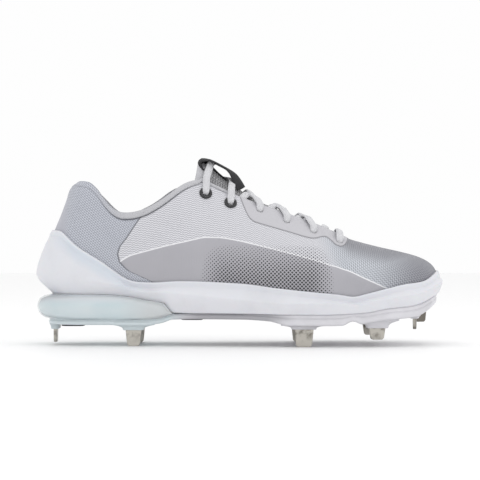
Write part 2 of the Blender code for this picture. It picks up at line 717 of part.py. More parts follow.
def make_plate():
    """The outsole plate: a hollowed waist, a rib round its edge, and a slotted boss over each stud."""
    radius = OUTER - plate_inset(OUTER_X)
    last = OUTER - carrier_inset(OUTER_X)
    x_edge = fan_x(radius)
    low = plate_bottom(x_edge)
    high = np.minimum(plate_top(x_edge), carrier_under(OUTER_X) - GAP)
    half = np.minimum(INNER_RING * last, 0.60 * radius)
    hollow, rib = RIB_START * radius, RIB_END * radius
    rows = [(0 * radius, plate_bottom(STATION) + RIB_RISE), (hollow, plate_bottom(fan_x(hollow)) + RIB_RISE)]
    rows += [(rib, plate_bottom(fan_x(rib))), (radius - PLATE_ROUND[0], low), (radius, low + PLATE_ROUND[1])]
    rows += [(radius, high), (half, plate_top(fan_x(half))), (0 * radius, plate_top(STATION))]
    plate = shell_solid("outsole_plate", rows, (0.74, 0.74, 0.76), 0.42)
    bosses, slots = [], []
    for row in STUDS.values():
        x, _, width, _, face, _ = row
        half_blade = width * BALL_WIDTH / 2
        bottom = face * STUD_HEIGHT
        top = float(plate_bottom(x * LENGTH)) + BOSS_BED + RIB_RISE
        foot = (half_blade + BOSS_MARGIN * BOSS_FOOT, BLADE_THICK / 2 + BOSS_MARGIN * BOSS_FOOT)
        root = (half_blade + BOSS_MARGIN * BOSS_ROOT[0], BLADE_THICK / 2 + BOSS_MARGIN * BOSS_ROOT[1])
        bosses.append((stud_place(row), box_mesh(bottom, top, foot, root)))
        slot = (half_blade + GAP, BLADE_THICK / 2 + GAP)
        slots.append((stud_place(row), box_mesh(bottom - 0.001, bottom + BLADE_ROOT + GAP, slot, slot, 0.02)))
    combine(plate, joined_blocks("boss_blocks", bosses), "UNION")
    combine(plate, joined_blocks("slot_blocks", slots), "DIFFERENCE")
    return plate


def make_stud(name, row):
    """A pressed metal blade: a straight root in its slot, a tapering body and rounded lower corners."""
    _, _, width, foot, face, _ = row
    half = width * BALL_WIDTH / 2
    bottom, top = foot * STUD_HEIGHT, face * STUD_HEIGHT
    low = half * BLADE_TAPER
    side = [(half, top + BLADE_ROOT), (half, top)]
    for turn in CORNER_TURNS:
        side.append((low - CORNER * (1 - math.sin(turn)), bottom + CORNER * (1 - math.cos(turn))))
    outline = side + [(low - CORNER, bottom), (CORNER - low, bottom)] + [(-x, z) for x, z in side[::-1]]
    thick = BLADE_THICK / 2
    made = bmesh.new()
    front = [made.verts.new((x, -thick, z)) for x, z in outline]
    face_made = made.faces.new(front)
    extruded = bmesh.ops.extrude_face_region(made, geom=[face_made])
    moved = [item for item in extruded["geom"] if isinstance(item, bmesh.types.BMVert)]
    bmesh.ops.translate(made, verts=moved, vec=(0, 2 * thick, 0))
    bmesh.ops.recalc_face_normals(made, faces=made.faces)
    mesh = bpy.data.meshes.new(name)
    made.to_mesh(mesh)
    made.free()
    mesh.transform(stud_place(row))
    return finish(name, mesh, (0.32, 0.30, 0.28), 0.3, 1.0)


def upper_half(x, y):
    """Half width of the upper on the side of the ridge line where y lies."""
    return np.where(y < ridge_shift(x), half_width(x, -1), half_width(x, 1)) - CUP_WALL - GAP


def throat_half(x, side):
    """Distance from the ridge line to the throat's edge on one side."""
    return float(throat_share(x) * (half_width(x, side) - CUP_WALL - GAP))


def section_height(x, y):
    """Height of the upper's outer face over a point of the instep, as if the throat were closed."""
    x, y = np.asarray(x, float), np.asarray(y, float)
    across = np.abs(y - ridge_shift(x))
    power = section_power(x)
    share = np.clip(across / upper_half(x, y), 0, 0.999)
    return widest_height(x) + (ridge_height(x) - widest_height(x)) * (1 - share ** power) ** (1 / power)


def section_normal(x, y):
    """Unit normal of the same face."""
    step = 0.0008
    along = (section_height(x + step, y) - section_height(x - step, y)) / (2 * step)
    across = (section_height(x, y + step) - section_height(x, y - step)) / (2 * step)
    normal = np.stack([-along, -across, np.ones_like(along)], axis=-1)
    return normal / np.linalg.norm(normal, axis=-1, keepdims=True)


def tongue_front(x, y):
    """Height of the tongue's front face: under the eyestay by a clearance, swelling up through the throat."""
    x, y = np.asarray(x, float), np.asarray(y, float)
    depth = UPPER_WALL + EYESTAY_STEP + TONGUE_CLEAR
    under = section_height(x, y) - depth / section_normal(x, y)[..., 2]
    middle = ridge_shift(x)
    crown = section_height(x, middle) - depth / section_normal(x, middle)[..., 2]
    lift = np.maximum(tongue_height(x) - crown, 0.0)
    share = np.clip(np.abs(y - middle) / (throat_share(x) * upper_half(x, y) * 0.92), 0, 1)
    return under + lift * (1 - share ** 2) ** 2


def grid_solid(name, front, back, colour, roughness):
    """A closed pad between two grids of points with the same rows and columns."""
    rows, columns = front.shape[:2]
    loops = np.concatenate([front, back[:, ::-1]], axis=1)
    ring = 2 * columns
    faces = []
    for j in range(rows - 1):
        for i in range(ring):
            k = (i + 1) % ring
            faces.append((j * ring + i, j * ring + k, (j + 1) * ring + k, (j + 1) * ring + i))
    for j in (0, rows - 1):
        for i in range(columns - 1):
            faces.append((j * ring + i, j * ring + i + 1, j * ring + ring - 2 - i, j * ring + ring - 1 - i))
    return finish(name, closed_mesh(name, loops.reshape(-1, 3), faces), colour, roughness)


def make_tongue():
    """The padded tongue, from under the vamp up through the throat to its free top."""
    x = np.linspace(TONGUE[0][0] * LENGTH, TONGUE[-1][0] * LENGTH, TONGUE_ROWS)
    across = np.array([-1, -0.93, -0.72, -0.45, -0.2, 0, 0.2, 0.45, 0.72, 0.93, 1])
    grid_x, share = np.meshgrid(x, across, indexing="ij")
    y = ridge_shift(grid_x) + share * tongue_share(grid_x) * upper_half(grid_x, ridge_shift(grid_x) + share)
    z = tongue_front(grid_x, y)
    front = np.stack([grid_x, y, z], axis=-1)
    normal = section_normal(grid_x, y)
    thick = curve(TONGUE, 3, TONGUE_THICK)(grid_x) * (1 - TONGUE_EDGE * np.abs(share) ** 6)
    back = front - normal * thick[..., None]
    return grid_solid("tongue", front, back, (0.42, 0.42, 0.44), 0.85)


def make_label_band():
    """The label band on the tongue's front, whose lower end bridges the laces."""
    x = np.linspace(BAND_FRONT, BAND_BACK, 7)
    across = np.linspace(-1, 1, 5)
    grid_x, share = np.meshgrid(x, across, indexing="ij")
    y = ridge_shift(grid_x) + share * BAND_HALF
    lifted = eased(grid_x, BAND_BACK + 0.002, BAND_FRONT - 0.013)
    crest = tongue_front(grid_x, ridge_shift(grid_x))
    z = crest - (1 - lifted) * (crest - tongue_front(grid_x, y)) - lifted * BAND_SAG * share ** 2
    normal = section_normal(grid_x, ridge_shift(grid_x))
    room = GAP + BAND_ROOM * lifted
    back = np.stack([grid_x, y, z], axis=-1) + normal * room[..., None]
    front = back + normal * BAND_THICK
    return grid_solid("tongue_band", front, back, (0.02, 0.02, 0.025), 0.6)


def eyelet_place(index, side):
    """Centre of an eyelet on the outer face and the normal there."""
    x, share = EYELETS[index]
    x = x * LENGTH
    y = float(ridge_shift(x)) + side * share * float(half_width(x, side) - CUP_WALL - GAP)
    return Vector((x, y, float(section_height(x, y)))), Vector(section_normal(np.array(x), np.array(y)))


def turned_to(normal, centre):
    """A matrix that carries the z axis to a normal at a centre."""
    return Matrix.Translation(centre) @ normal.to_track_quat("Z", "Y").to_matrix().to_4x4()


def cut_eyelets(upper):
    """Round holes through the wall for the laces."""
    made = bmesh.new()
    for index in range(len(EYELETS)):
        radius = TOP_EYELET_RADIUS if index < TOP_EYELETS else EYELET_RADIUS
        for side in (-1, 1):
            centre, normal = eyelet_place(index, side)
            bmesh.ops.create_cone(made, cap_ends=True, segments=10, radius1=radius, radius2=radius,
                                  depth=0.020, matrix=turned_to(normal, centre))
    mesh = bpy.data.meshes.new("eyelet_cutter")
    made.to_mesh(mesh)
    made.free()
    cutter = bpy.data.objects.new("eyelet_cutter", mesh)
    bpy.context.scene.collection.objects.link(cutter)
    cutter.hide_render = True
    cutter.display_type = "WIRE"
    combine(upper, cutter, "DIFFERENCE")


def make_eyelet_ring(name, index, side):
    """A rubber ring that rims one of the large top eyelets."""
    centre, normal = eyelet_place(index, side)
    made = bmesh.new()
    angles = np.linspace(0, 2 * math.pi, 13)[:-1]
    inner, outer = TOP_EYELET_RADIUS - GAP, TOP_EYELET_RADIUS + RING_WALL
    rows = ((inner, 0.0), (outer, 0.0), (outer - 0.0004, 0.0009), (inner + 0.0002, 0.0011))
    loops = [[made.verts.new((r * math.cos(a), r * math.sin(a), h)) for a in angles] for r, h in rows]
    for j in range(4):
        below, above = loops[j], loops[(j + 1) % 4]
        for i in range(12):
            k = (i + 1) % 12
            made.faces.new((below[i], below[k], above[k], above[i]))
    bmesh.ops.recalc_face_normals(made, faces=made.faces)
    mesh = bpy.data.meshes.new(name)
    made.to_mesh(mesh)
    made.free()
    mesh.transform(turned_to(normal, centre + normal * 2 * GAP))
    return finish(name, mesh, (0.02, 0.02, 0.025), 0.45)


def taut(distance, height):
    """The heights of a string pulled tight over a profile."""
    hull = []
    for point in zip(distance, height):
        while len(hull) > 1:
            (ax, ay), (bx, by) = hull[-2], hull[-1]
            if (bx - ax) * (point[1] - ay) - (by - ay) * (point[0] - ax) < 0:
                break
            hull.pop()
        hull.append(point)
    return np.interp(distance, [p[0] for p in hull], [p[1] for p in hull])


def lace_strap(points_xy):
    """A flat strap pulled over the eyestay and tongue along a line in plan, as points and faces."""
    x, y = np.array(points_xy).T
    edge = np.abs(y - ridge_shift(x)) > throat_share(x) * upper_half(x, y) - 0.0010
    below = np.where(edge, section_height(x, y) + EYESTAY_STEP, tongue_front(x, y))
    distance = np.concatenate([[0], np.cumsum(np.hypot(np.diff(x), np.diff(y)))])
    z = taut(distance, below)
    normal = section_normal(x, y)
    centre = np.stack([x, y, z], axis=1) + normal * (LACE_CLEAR + LACE_THICK / 2)
    run = np.gradient(centre, axis=0)
    across = np.cross(run, normal)
    across = across / np.linalg.norm(across, axis=1, keepdims=True)
    half, thick = across * LACE_WIDTH / 2, normal * LACE_THICK / 2
    corners = [centre + half - thick, centre + half + thick, centre - half + thick, centre - half - thick]
    points = np.concatenate(corners)
    count = len(x)
    faces = ring_faces(4, count, closed_rows=True, closed_ring=False)
    ends = [tuple(k * count for k in range(4)), tuple(k * count + count - 1 for k in range(4))]
    return points, faces + ends


def strap_object(name, points_xy):
    """A strap as its own object."""
    points, faces = lace_strap(points_xy)
    return finish(name, closed_mesh(name, points, faces), (0.52, 0.52, 0.54), 0.8)


def lace_start(index, side):
    """Where a strap leaves its eyelet, clear of the eyelet's rim."""
    x, share = EYELETS[index]
    rim = TOP_EYELET_RADIUS + RING_WALL + 0.0008 if index < TOP_EYELETS else EYELET_RADIUS + 0.0008
    x = x * LENGTH
    return x, float(ridge_shift(x)) + side * (share * float(half_width(x, side) - CUP_WALL - GAP) - rim)


def line(start, end, count=11):
    """Evenly spaced points from start to end."""
    return np.linspace(start, end, count)


def make_laces():
    """The lace: a bar at the toe, four crossings, and two straps that run under the label band."""
    toe = len(EYELETS) - 1
    for index in range(toe, TOP_EYELETS - 1, -1):
        straps = []
        for side in (-1, 1):
            start = lace_start(index, side)
            if index == toe:
                behind = EYELETS[toe][0] * LENGTH - TOE_BAR_ROOM
                start = (behind, float(ridge_shift(behind)) + side * (throat_half(behind, side) - TUCKED))
            ahead = EYELETS[index - 1][0] * LENGTH + DIVE
            goal = (ahead, float(ridge_shift(ahead)) - side * (throat_half(ahead, -side) - TUCKED))
            name = f"lace_crossing_{index}" if side < 0 else "strap_guide"
            straps.append(strap_object(name, line(start, goal)))
        straps[1].hide_render = True
        straps[1].display_type = "WIRE"
        combine(straps[0], straps[1], "UNION")
    strap_object("lace_toe_bar", line(lace_start(toe, -1), lace_start(toe, 1), 13))
    make_top_lace()


def make_top_lace():
    """The straight strap between the second eyelets and the bent one from the top eyelets, under the band."""
    keeper = (EYELETS[1][0] * LENGTH, float(ridge_shift(EYELETS[1][0] * LENGTH)))
    straight = strap_object("lace_top", line(lace_start(1, -1), lace_start(1, 1), 13))
    for side, label in ((-1, "top_guide_lateral"), (1, "top_guide_medial")):
        bent = strap_object(label, line(lace_start(0, side), (keeper[0], keeper[1] - side * 0.001), 9))
        bent.hide_render = True
        bent.display_type = "WIRE"
        combine(straight, bent, "UNION")


upper = make_upper()
cut_eyelets(upper)
make_carrier()
make_insole()
make_air_unit()
make_plate()
for stud_name, stud_row in STUDS.items():
    make_stud(stud_name, stud_row)
make_tongue()
make_label_band()
for eyelet_index in range(TOP_EYELETS):
    for eyelet_side, side_name in ((-1, "lateral"), (1, "medial")):
        make_eyelet_ring(f"eyelet_ring_{eyelet_index + 1}_{side_name}", eyelet_index, eyelet_side)
make_laces()
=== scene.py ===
"""A low metal-stud baseball cleat, right shoe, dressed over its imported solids."""

import math

import bmesh
import bpy
import numpy as np
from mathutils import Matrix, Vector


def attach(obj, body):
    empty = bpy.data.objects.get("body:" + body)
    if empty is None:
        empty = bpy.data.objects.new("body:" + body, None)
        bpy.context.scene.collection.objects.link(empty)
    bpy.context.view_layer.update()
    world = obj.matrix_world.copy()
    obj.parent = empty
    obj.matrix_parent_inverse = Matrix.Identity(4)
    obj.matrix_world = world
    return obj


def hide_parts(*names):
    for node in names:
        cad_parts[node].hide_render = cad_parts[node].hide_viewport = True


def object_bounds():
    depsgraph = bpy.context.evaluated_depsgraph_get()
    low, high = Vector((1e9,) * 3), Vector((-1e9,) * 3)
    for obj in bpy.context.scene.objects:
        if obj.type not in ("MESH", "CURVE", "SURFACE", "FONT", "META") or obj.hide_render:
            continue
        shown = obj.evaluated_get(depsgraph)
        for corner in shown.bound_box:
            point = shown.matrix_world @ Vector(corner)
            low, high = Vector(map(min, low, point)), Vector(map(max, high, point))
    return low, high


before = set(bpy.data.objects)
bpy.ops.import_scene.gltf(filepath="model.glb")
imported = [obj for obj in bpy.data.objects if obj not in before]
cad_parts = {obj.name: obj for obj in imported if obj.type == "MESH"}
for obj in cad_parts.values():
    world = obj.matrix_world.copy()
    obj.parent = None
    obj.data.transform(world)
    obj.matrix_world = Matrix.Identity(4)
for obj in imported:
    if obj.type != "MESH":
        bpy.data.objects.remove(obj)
cad_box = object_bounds()


# The studio: a pale floor under a wide softbox, with a low fill from the camera's side and a lamp by the toe.
# The camera stands level with the middle of the shoe, square to its lateral side.
CAMERA_DISTANCE = 1.400
CAMERA_HEIGHT = 0.0768
FRAME_WIDTH = 0.3545
SENSOR = 0.036


def paint(red, green, blue):
    """A linear colour from 8-bit display values."""
    share = np.array([red, green, blue]) / 255
    return tuple(np.where(share <= 0.04045, share / 12.92, ((share + 0.055) / 1.055) ** 2.4))


camera_data = bpy.data.cameras.new("camera")
camera_data.sensor_width = SENSOR * 1000
camera_data.lens = SENSOR * 1000 * CAMERA_DISTANCE / FRAME_WIDTH
camera = bpy.data.objects.new("camera", camera_data)
camera.location = (0, -CAMERA_DISTANCE, CAMERA_HEIGHT)
camera.rotation_euler = (math.pi / 2, 0, 0)
bpy.context.scene.collection.objects.link(camera)
bpy.context.scene.camera = camera
bpy.context.scene.view_settings.view_transform = "Standard"


def softbox(name, place, aim, size, power):
    """A square lamp that faces a point."""
    data = bpy.data.lights.new(name, "AREA")
    data.shape, data.size, data.energy = "SQUARE", size, power
    lamp = bpy.data.objects.new(name, data)
    away = np.array(place, float) - np.array(aim, float)
    lamp.location = place
    lamp.rotation_euler = (math.acos(away[2] / np.linalg.norm(away)), 0, math.atan2(away[0], -away[1]))
    bpy.context.scene.collection.objects.link(lamp)


softbox("overhead", (0.0, -0.15, 1.3), (0, 0, 0), 1.1, 2.2)
softbox("fill", (-0.5, -1.3, 0.55), (0, 0, 0.05), 0.7, 0.8)
softbox("toe_strip", (1.1, -0.5, 0.5), (0.05, 0, 0.05), 0.5, 0.8)
world = bpy.data.worlds.new("studio")
world.use_nodes = True
world.node_tree.nodes["Background"].inputs["Color"].default_value = (1, 1, 1, 1)
world.node_tree.nodes["Background"].inputs["Strength"].default_value = 0.99
bpy.context.scene.world = world


class Knit:
    """One value in a material: operators on it add Math nodes."""

    def __init__(self, material, socket):
        self.material, self.socket = material, socket

    def math(self, operation, *others):
        """A Math node of this value and others."""
        node = self.material.node_tree.nodes.new("ShaderNodeMath")
        node.operation = operation
        for slot, value in zip(node.inputs, (self, *others)):
            if isinstance(value, Knit):
                self.material.node_tree.links.new(value.socket, slot)
            else:
                slot.default_value = value
        return Knit(self.material, node.outputs[0])

    def __add__(self, other):
        return self.math("ADD", other)

    def __mul__(self, other):
        return self.math("MULTIPLY", other)

    def __sub__(self, other):
        return self.math("SUBTRACT", other)

    def __rsub__(self, other):
        return (self * -1.0).math("ADD", other)

    __radd__, __rmul__ = __add__, __mul__

    def sine(self):
        """The sine of a value."""
        return self.math("SINE")

    def ramp(self, low, high):
        """0 below low, 1 above high and straight between."""
        return ((self - low) * (1.0 / (high - low))).math("MAXIMUM", 0.0).math("MINIMUM", 1.0)


class Finish:
    """A Principled material whose nodes are added by name, settings and inputs."""

    def __init__(self, name, colour, roughness, **fixed):
        self.material = bpy.data.materials.new(name)
        self.material.use_nodes = True
        self.tree = self.material.node_tree
        self.shader = self.tree.nodes["Principled BSDF"]
        self.shader.inputs["Base Color"].default_value = (*colour, 1.0)
        self.shader.inputs["Roughness"].default_value = roughness
        for socket, value in fixed.items():
            self.shader.inputs[socket.replace("_", " ")].default_value = value
        self.place = self.node("ShaderNodeTexCoord", "Object")

    def node(self, kind, output, settings=None, **inputs):
        """A node with its settings made first, then its inputs; returns one output."""
        node = self.tree.nodes.new(kind)
        for key, value in (settings or {}).items():
            setattr(node, key, value)
        for key, value in inputs.items():
            slot = node.inputs[int(key[1:]) if key[0] == "i" and key[1:].isdigit() else key.replace("_", " ")]
            if isinstance(value, Knit):
                self.tree.links.new(value.socket, slot)
            else:
                slot.default_value = (*value, 1.0) if slot.type == "RGBA" and len(value) == 3 else value
        return Knit(self.material, node.outputs[output])

    def xyz(self):
        """The three Object coordinates."""
        node = self.tree.nodes.new("ShaderNodeSeparateXYZ")
        self.tree.links.new(self.place.socket, node.inputs[0])
        return [Knit(self.material, node.outputs[k]) for k in range(3)]

    def field(self, name):
        """A number stored on the piece's points."""
        return self.node("ShaderNodeAttribute", "Fac", {"attribute_name": name})

    def noise(self, scale, detail=3.0, rough=0.5):
        """Noise from 0 to 1 on Object coordinates."""
        return self.node("ShaderNodeTexNoise", 0, Vector=self.place, Scale=scale, Detail=detail,
                         Roughness=rough)

    def blend(self, share, low, high):
        """A colour between two colours."""
        return self.node("ShaderNodeMix", 2, {"data_type": "RGBA"}, i0=share, i6=low, i7=high)

    def wear(self, colour=None, roughness=None, height=None, depth=0.0003, strength=0.6):
        """Join the looks to the shader."""
        inputs = self.shader.inputs
        for name, value in (("Base Color", colour), ("Roughness", roughness)):
            if value is not None:
                self.tree.links.new(value.socket, inputs[name])
        if height is not None:
            bump = self.node("ShaderNodeBump", 0, Height=height, Distance=depth, Strength=strength)
            self.tree.links.new(bump.socket, inputs["Normal"])


floor_finish = Finish("pale_floor", (0.95, 0.95, 0.95), 0.55)
grain = floor_finish.noise(9.0)
floor_finish.wear(roughness=grain * 0.1 + 0.5)
floor_mesh = bpy.data.meshes.new("floor")
floor_mesh.from_pydata([(-3, -3, 0), (3, -3, 0), (3, 3, 0), (-3, 3, 0)], [], [(0, 1, 2, 3)])
floor_mesh.materials.append(floor_finish.material)
floor = bpy.data.objects.new("floor", floor_mesh)
bpy.context.scene.collection.objects.link(floor)


# The ribs: the last is described by upright half sections that fan round the heel, stand square across the
# waist and fan round the toe. Sole and upper are both laid out on them, so that they meet without fitting.
LENGTH, BALL_WIDTH, HEEL_WIDTH = 0.300, 0.106, 0.072
STUD_HEIGHT, SOLE_HEIGHT, HEEL_HEIGHT, INSTEP_HEIGHT, CUP_HEIGHT = 0.0115, 0.0297, 0.1206, 0.1225, 0.0834
GAP, CUP_WALL, TOE_BUMPER, LIP_WALL, LIP_HEIGHT, FEATHER_TUCK = 0.0003, 0.0030, 0.0041, 0.0020, 0.0036, 0.0045
HEEL_CENTRE, TOE_CENTRE = -0.373 * LENGTH, 0.350 * LENGTH
HEEL_POWER, TOE_POWER = 2.2, 2.0
TOE_SQUARE_POWER, TOE_CROWN_POWER, TOE_DROP = 5.0, 2.7, 0.22
# Plan of the sole: x in lengths, half widths to the lateral and medial side in the width named last.
OUTLINE = [
    (-0.373, 0.500, 0.500, HEEL_WIDTH),
    (-0.233, 0.500, 0.475, HEEL_WIDTH),
    (-0.100, 0.535, 0.470, HEEL_WIDTH),
    (0.033, 0.434, 0.370, BALL_WIDTH),
    (0.150, 0.488, 0.442, BALL_WIDTH),
    (0.233, 0.500, 0.500, BALL_WIDTH),
    (0.300, 0.484, 0.498, BALL_WIDTH),
    (0.350, 0.458, 0.488, BALL_WIDTH),
]
# Half sections of the last: x in lengths, shift of the ridge line to the medial side in ball widths, height
# of the ridge in instep heights and of the widest point in sole heights, power of the superellipse.
SECTIONS = [
    (-0.373, 0.000, 1.190, 1.60, 1.90),
    (-0.327, 0.000, 1.350, 1.60, 1.90),
    (-0.267, 0.000, 1.430, 1.58, 1.90),
    (-0.200, 0.000, 1.390, 1.55, 1.86),
    (-0.133, 0.000, 1.210, 1.52, 1.76),
    (-0.090, 0.000, 1.118, 1.50, 1.70),
    (-0.023, 0.005, 1.000, 1.46, 1.70),
    (0.027, 0.012, 0.914, 1.42, 1.70),
    (0.087, 0.021, 0.849, 1.38, 1.60),
    (0.147, 0.029, 0.788, 1.34, 1.55),
    (0.187, 0.034, 0.743, 1.32, 1.58),
    (0.243, 0.040, 0.669, 1.30, 1.75),
    (0.263, 0.042, 0.640, 1.28, 1.85),
    (0.300, 0.045, 0.612, 1.25, 2.00),
    (0.350, 0.047, 0.581, 1.22, 2.15),
]
# Back of the heel: height in heel heights, reach behind the heel's centre in heel widths.
HEEL_CURVE = [
    (0.330, 0.440), (0.400, 0.478), (0.450, 0.472), (0.540, 0.442), (0.700, 0.340),
    (0.776, 0.288), (0.875, 0.220), (0.947, 0.182), (0.985, 0.142), (1.020, 0.100),
]
# Throat: x in lengths, half its opening as a share of the upper's half width.
THROAT = [(-0.095, 0.500), (-0.023, 0.450), (0.047, 0.358), (0.113, 0.294), (0.177, 0.256), (0.217, 0.238)]
THROAT_BACK = THROAT[0][0] * LENGTH
THROAT_ROUND = THROAT[-1][0] * LENGTH
THROAT_END = 0.263 * LENGTH
# Layers of the sole: x in lengths, then plate bottom, plate top, carrier underside and footbed above the
# studs in sole heights.
LAYERS = [
    (-0.500, 0.128, 0.263, 0.870, 1.000),
    (-0.330, 0.128, 0.263, 0.865, 1.000),
    (-0.275, 0.128, 0.263, 0.825, 0.987),
    (-0.235, 0.132, 0.267, 0.755, 0.945),
    (-0.205, 0.150, 0.285, 0.705, 0.905),
    (-0.184, 0.190, 0.325, 0.660, 0.870),
    (-0.163, 0.262, 0.397, 0.440, 0.835),
    (-0.100, 0.273, 0.407, 0.418, 0.745),
    (0.000, 0.273, 0.407, 0.418, 0.630),
    (0.067, 0.240, 0.400, 0.411, 0.560),
    (0.117, 0.131, 0.390, 0.401, 0.530),
    (0.200, 0.131, 0.390, 0.401, 0.520),
    (0.243, 0.140, 0.404, 0.415, 0.535),
    (0.268, 0.240, 0.418, 0.429, 0.544),
    (0.292, 0.170, 0.434, 0.445, 0.556),
    (0.300, 0.190, 0.440, 0.451, 0.560),
    (0.350, 0.270, 0.530, 0.541, 0.650),
    (0.420, 0.330, 0.610, 0.621, 0.760),
    (0.500, 0.760, 0.920, 0.931, 1.020),
]


def curve(table, column, scale=1.0, x_scale=LENGTH):
    """A monotone cubic through two columns of a table; slopes are weighted harmonic means of the chords."""
    rows = sorted((row[0] * x_scale, row[column] * scale) for row in table)
    xs, ys = (np.array(values) for values in zip(*rows))
    step = np.diff(xs)
    slope = np.diff(ys) / step
    tangent = np.concatenate([slope[:1], np.zeros(len(slope) - 1), slope[-1:]])
    rising = slope[:-1] * slope[1:] > 0
    near, far = 2 * step[1:] + step[:-1], step[1:] + 2 * step[:-1]
    before, after = np.where(rising, slope[:-1], 1.0), np.where(rising, slope[1:], 1.0)
    tangent[1:-1] = np.where(rising, (near + far) / (near / before + far / after), 0.0)

    def value(x):
        x = np.clip(np.asarray(x, float), xs[0], xs[-1])
        i = np.clip(np.searchsorted(xs, x) - 1, 0, len(step) - 1)
        t = (x - xs[i]) / step[i]
        keep = (1 + 2 * t) * (1 - t) ** 2 * ys[i] + t * t * (3 - 2 * t) * ys[i + 1]
        return keep + step[i] * (t * (1 - t) ** 2 * tangent[i] - t * t * (1 - t) * tangent[i + 1])

    return value


ridge_shift, ridge_height = curve(SECTIONS, 1, BALL_WIDTH), curve(SECTIONS, 2, INSTEP_HEIGHT)
section_power = curve(SECTIONS, 4)
heel_reach = curve(HEEL_CURVE, 1, HEEL_WIDTH, HEEL_HEIGHT)


def layer(column):
    """Height above the floor of one layer of the sole."""
    share = curve(LAYERS, column, SOLE_HEIGHT)
    return lambda x: STUD_HEIGHT + share(x)


plate_bottom, plate_top, carrier_under, footbed = (layer(column) for column in (1, 2, 3, 4))


def widest_height(x):
    """Height of the widest point of the upper."""
    return STUD_HEIGHT + curve(SECTIONS, 3, SOLE_HEIGHT)(x)


def half_width(x, side):
    """Half width of the sole's outline from the ridge line to the lateral (-1) or medial (1) side."""
    rows = [(row[0], (row[1] if side < 0 else row[2]) * row[3]) for row in OUTLINE]
    return curve(rows, 1)(x) - side * ridge_shift(x)


HEEL_RIBS, WAIST_RIBS, TOE_RIBS = 34, 150, 44
AIR_FRONT = -0.163 * LENGTH
waist = np.linspace(HEEL_CENTRE, TOE_CENTRE, WAIST_RIBS + 1)
throat_tip = THROAT_ROUND + (THROAT_END - THROAT_ROUND) * np.sin(np.linspace(0.6, math.pi / 2, 9))
waist = np.sort(np.concatenate([waist, [AIR_FRONT], throat_tip]))
heel_turn = np.arange(HEEL_RIBS) / HEEL_RIBS * math.pi / 2
toe_turn = (1 - np.arange(1, TOE_RIBS + 1) / TOE_RIBS) * math.pi / 2
one_side = np.concatenate([
    np.stack([np.full(HEEL_RIBS, HEEL_CENTRE), np.zeros(HEEL_RIBS), heel_turn], axis=1),
    np.stack([waist, np.ones(len(waist)), np.full(len(waist), math.pi / 2)], axis=1),
    np.stack([np.full(TOE_RIBS, TOE_CENTRE), np.full(TOE_RIBS, 2), toe_turn], axis=1)])
both = np.concatenate([one_side, one_side[-2:0:-1]])
STATION, PART, ANGLE = both.T
SIDE = np.concatenate([-np.ones(len(one_side)), np.ones(len(one_side) - 2)])
COUNT = len(STATION)
FOOT_Y = ridge_shift(STATION)
ALONG = np.where(PART == 0, -1, np.where(PART == 1, 0, 1)) * np.cos(ANGLE)
ACROSS = SIDE * np.sin(ANGLE)


def fan_radius(reach, width):
    """Distance from the ridge line to a plan outline that is a quarter superellipse in each fan."""
    power = np.where(PART == 0, HEEL_POWER, TOE_POWER)
    shape = (np.abs(np.cos(ANGLE)) / reach) ** power + (np.abs(np.sin(ANGLE)) / width) ** power
    return np.where(PART == 1, width, shape ** (-1 / power))


WIDTHS = np.where(SIDE < 0, half_width(STATION, -1), half_width(STATION, 1))
OUTER = fan_radius(np.where(PART == 0, LENGTH / 2 + HEEL_CENTRE, LENGTH / 2 - TOE_CENTRE), WIDTHS)
OUTER_X = STATION + OUTER * ALONG
WIDEST = widest_height(STATION)
RISE = ridge_height(STATION) - WIDEST
POWER = section_power(STATION)
UPPER_WIDTH = WIDTHS - CUP_WALL - GAP
TIP_REACH = LENGTH / 2 - TOE_CENTRE - TOE_BUMPER - GAP
BASE = fan_radius(np.where(PART == 2, TIP_REACH, heel_reach(WIDEST)), UPPER_WIDTH)
FOOTBED = footbed(STATION + BASE * ALONG)
TOE_SQUARE = np.where(PART == 2, POWER + (TOE_SQUARE_POWER - POWER) * np.cos(ANGLE) ** 2, POWER)
TOE_CROWN = np.where(PART == 2, POWER + (TOE_CROWN_POWER - POWER) * np.cos(ANGLE) ** 2, POWER)
TOE_FALL = np.where(PART == 2, TOE_DROP * np.cos(ANGLE), 0.0)


def upper_radius(z):
    """Outer face of the upper at height z on each rib, as the distance from the ridge line."""
    low = np.clip((WIDEST - z) / (WIDEST - FOOTBED), 0, 1)
    up = np.clip((z - WIDEST) / RISE, 0, 1)
    side_width = UPPER_WIDTH * (1 - up ** POWER) ** (1 / POWER)
    heel = (np.cos(ANGLE) / heel_reach(z)) ** HEEL_POWER
    heel = (heel + (np.sin(ANGLE) / np.maximum(side_width, 1e-4)) ** HEEL_POWER) ** (-1 / HEEL_POWER)
    toe = BASE * np.ones_like(z)
    for _ in range(12):
        share = np.clip((z - WIDEST) / np.maximum(RISE - TOE_FALL * toe, 1e-4), 0, 1)
        toe = 0.5 * toe + 0.5 * BASE * (1 - share ** TOE_CROWN) ** (1 / TOE_SQUARE)
    return np.where(PART == 0, heel, np.where(PART == 1, side_width, toe)) - FEATHER_TUCK * low ** 2


def plan(radius):
    """World x and y of a distance from the ridge line on each rib."""
    return STATION + radius * ALONG, FOOT_Y + radius * ACROSS


def laid_rows(rows):
    """Points of rows of (radius, height) on every rib."""
    points = []
    for radius, z in rows:
        x, y = plan(radius)
        points.append(np.stack([x, y, z * np.ones(COUNT)], axis=1))
    return np.concatenate(points)


def grid_faces(rows, count, closed=True):
    """Quads of a grid of rows, closed round each row if asked."""
    j, i = np.meshgrid(np.arange(rows - 1), np.arange(count if closed else count - 1), indexing="ij")
    k = (i + 1) % count
    corners = [j * count + i, j * count + k, (j + 1) * count + k, (j + 1) * count + i]
    return np.stack(corners, axis=-1).reshape(-1, 4)


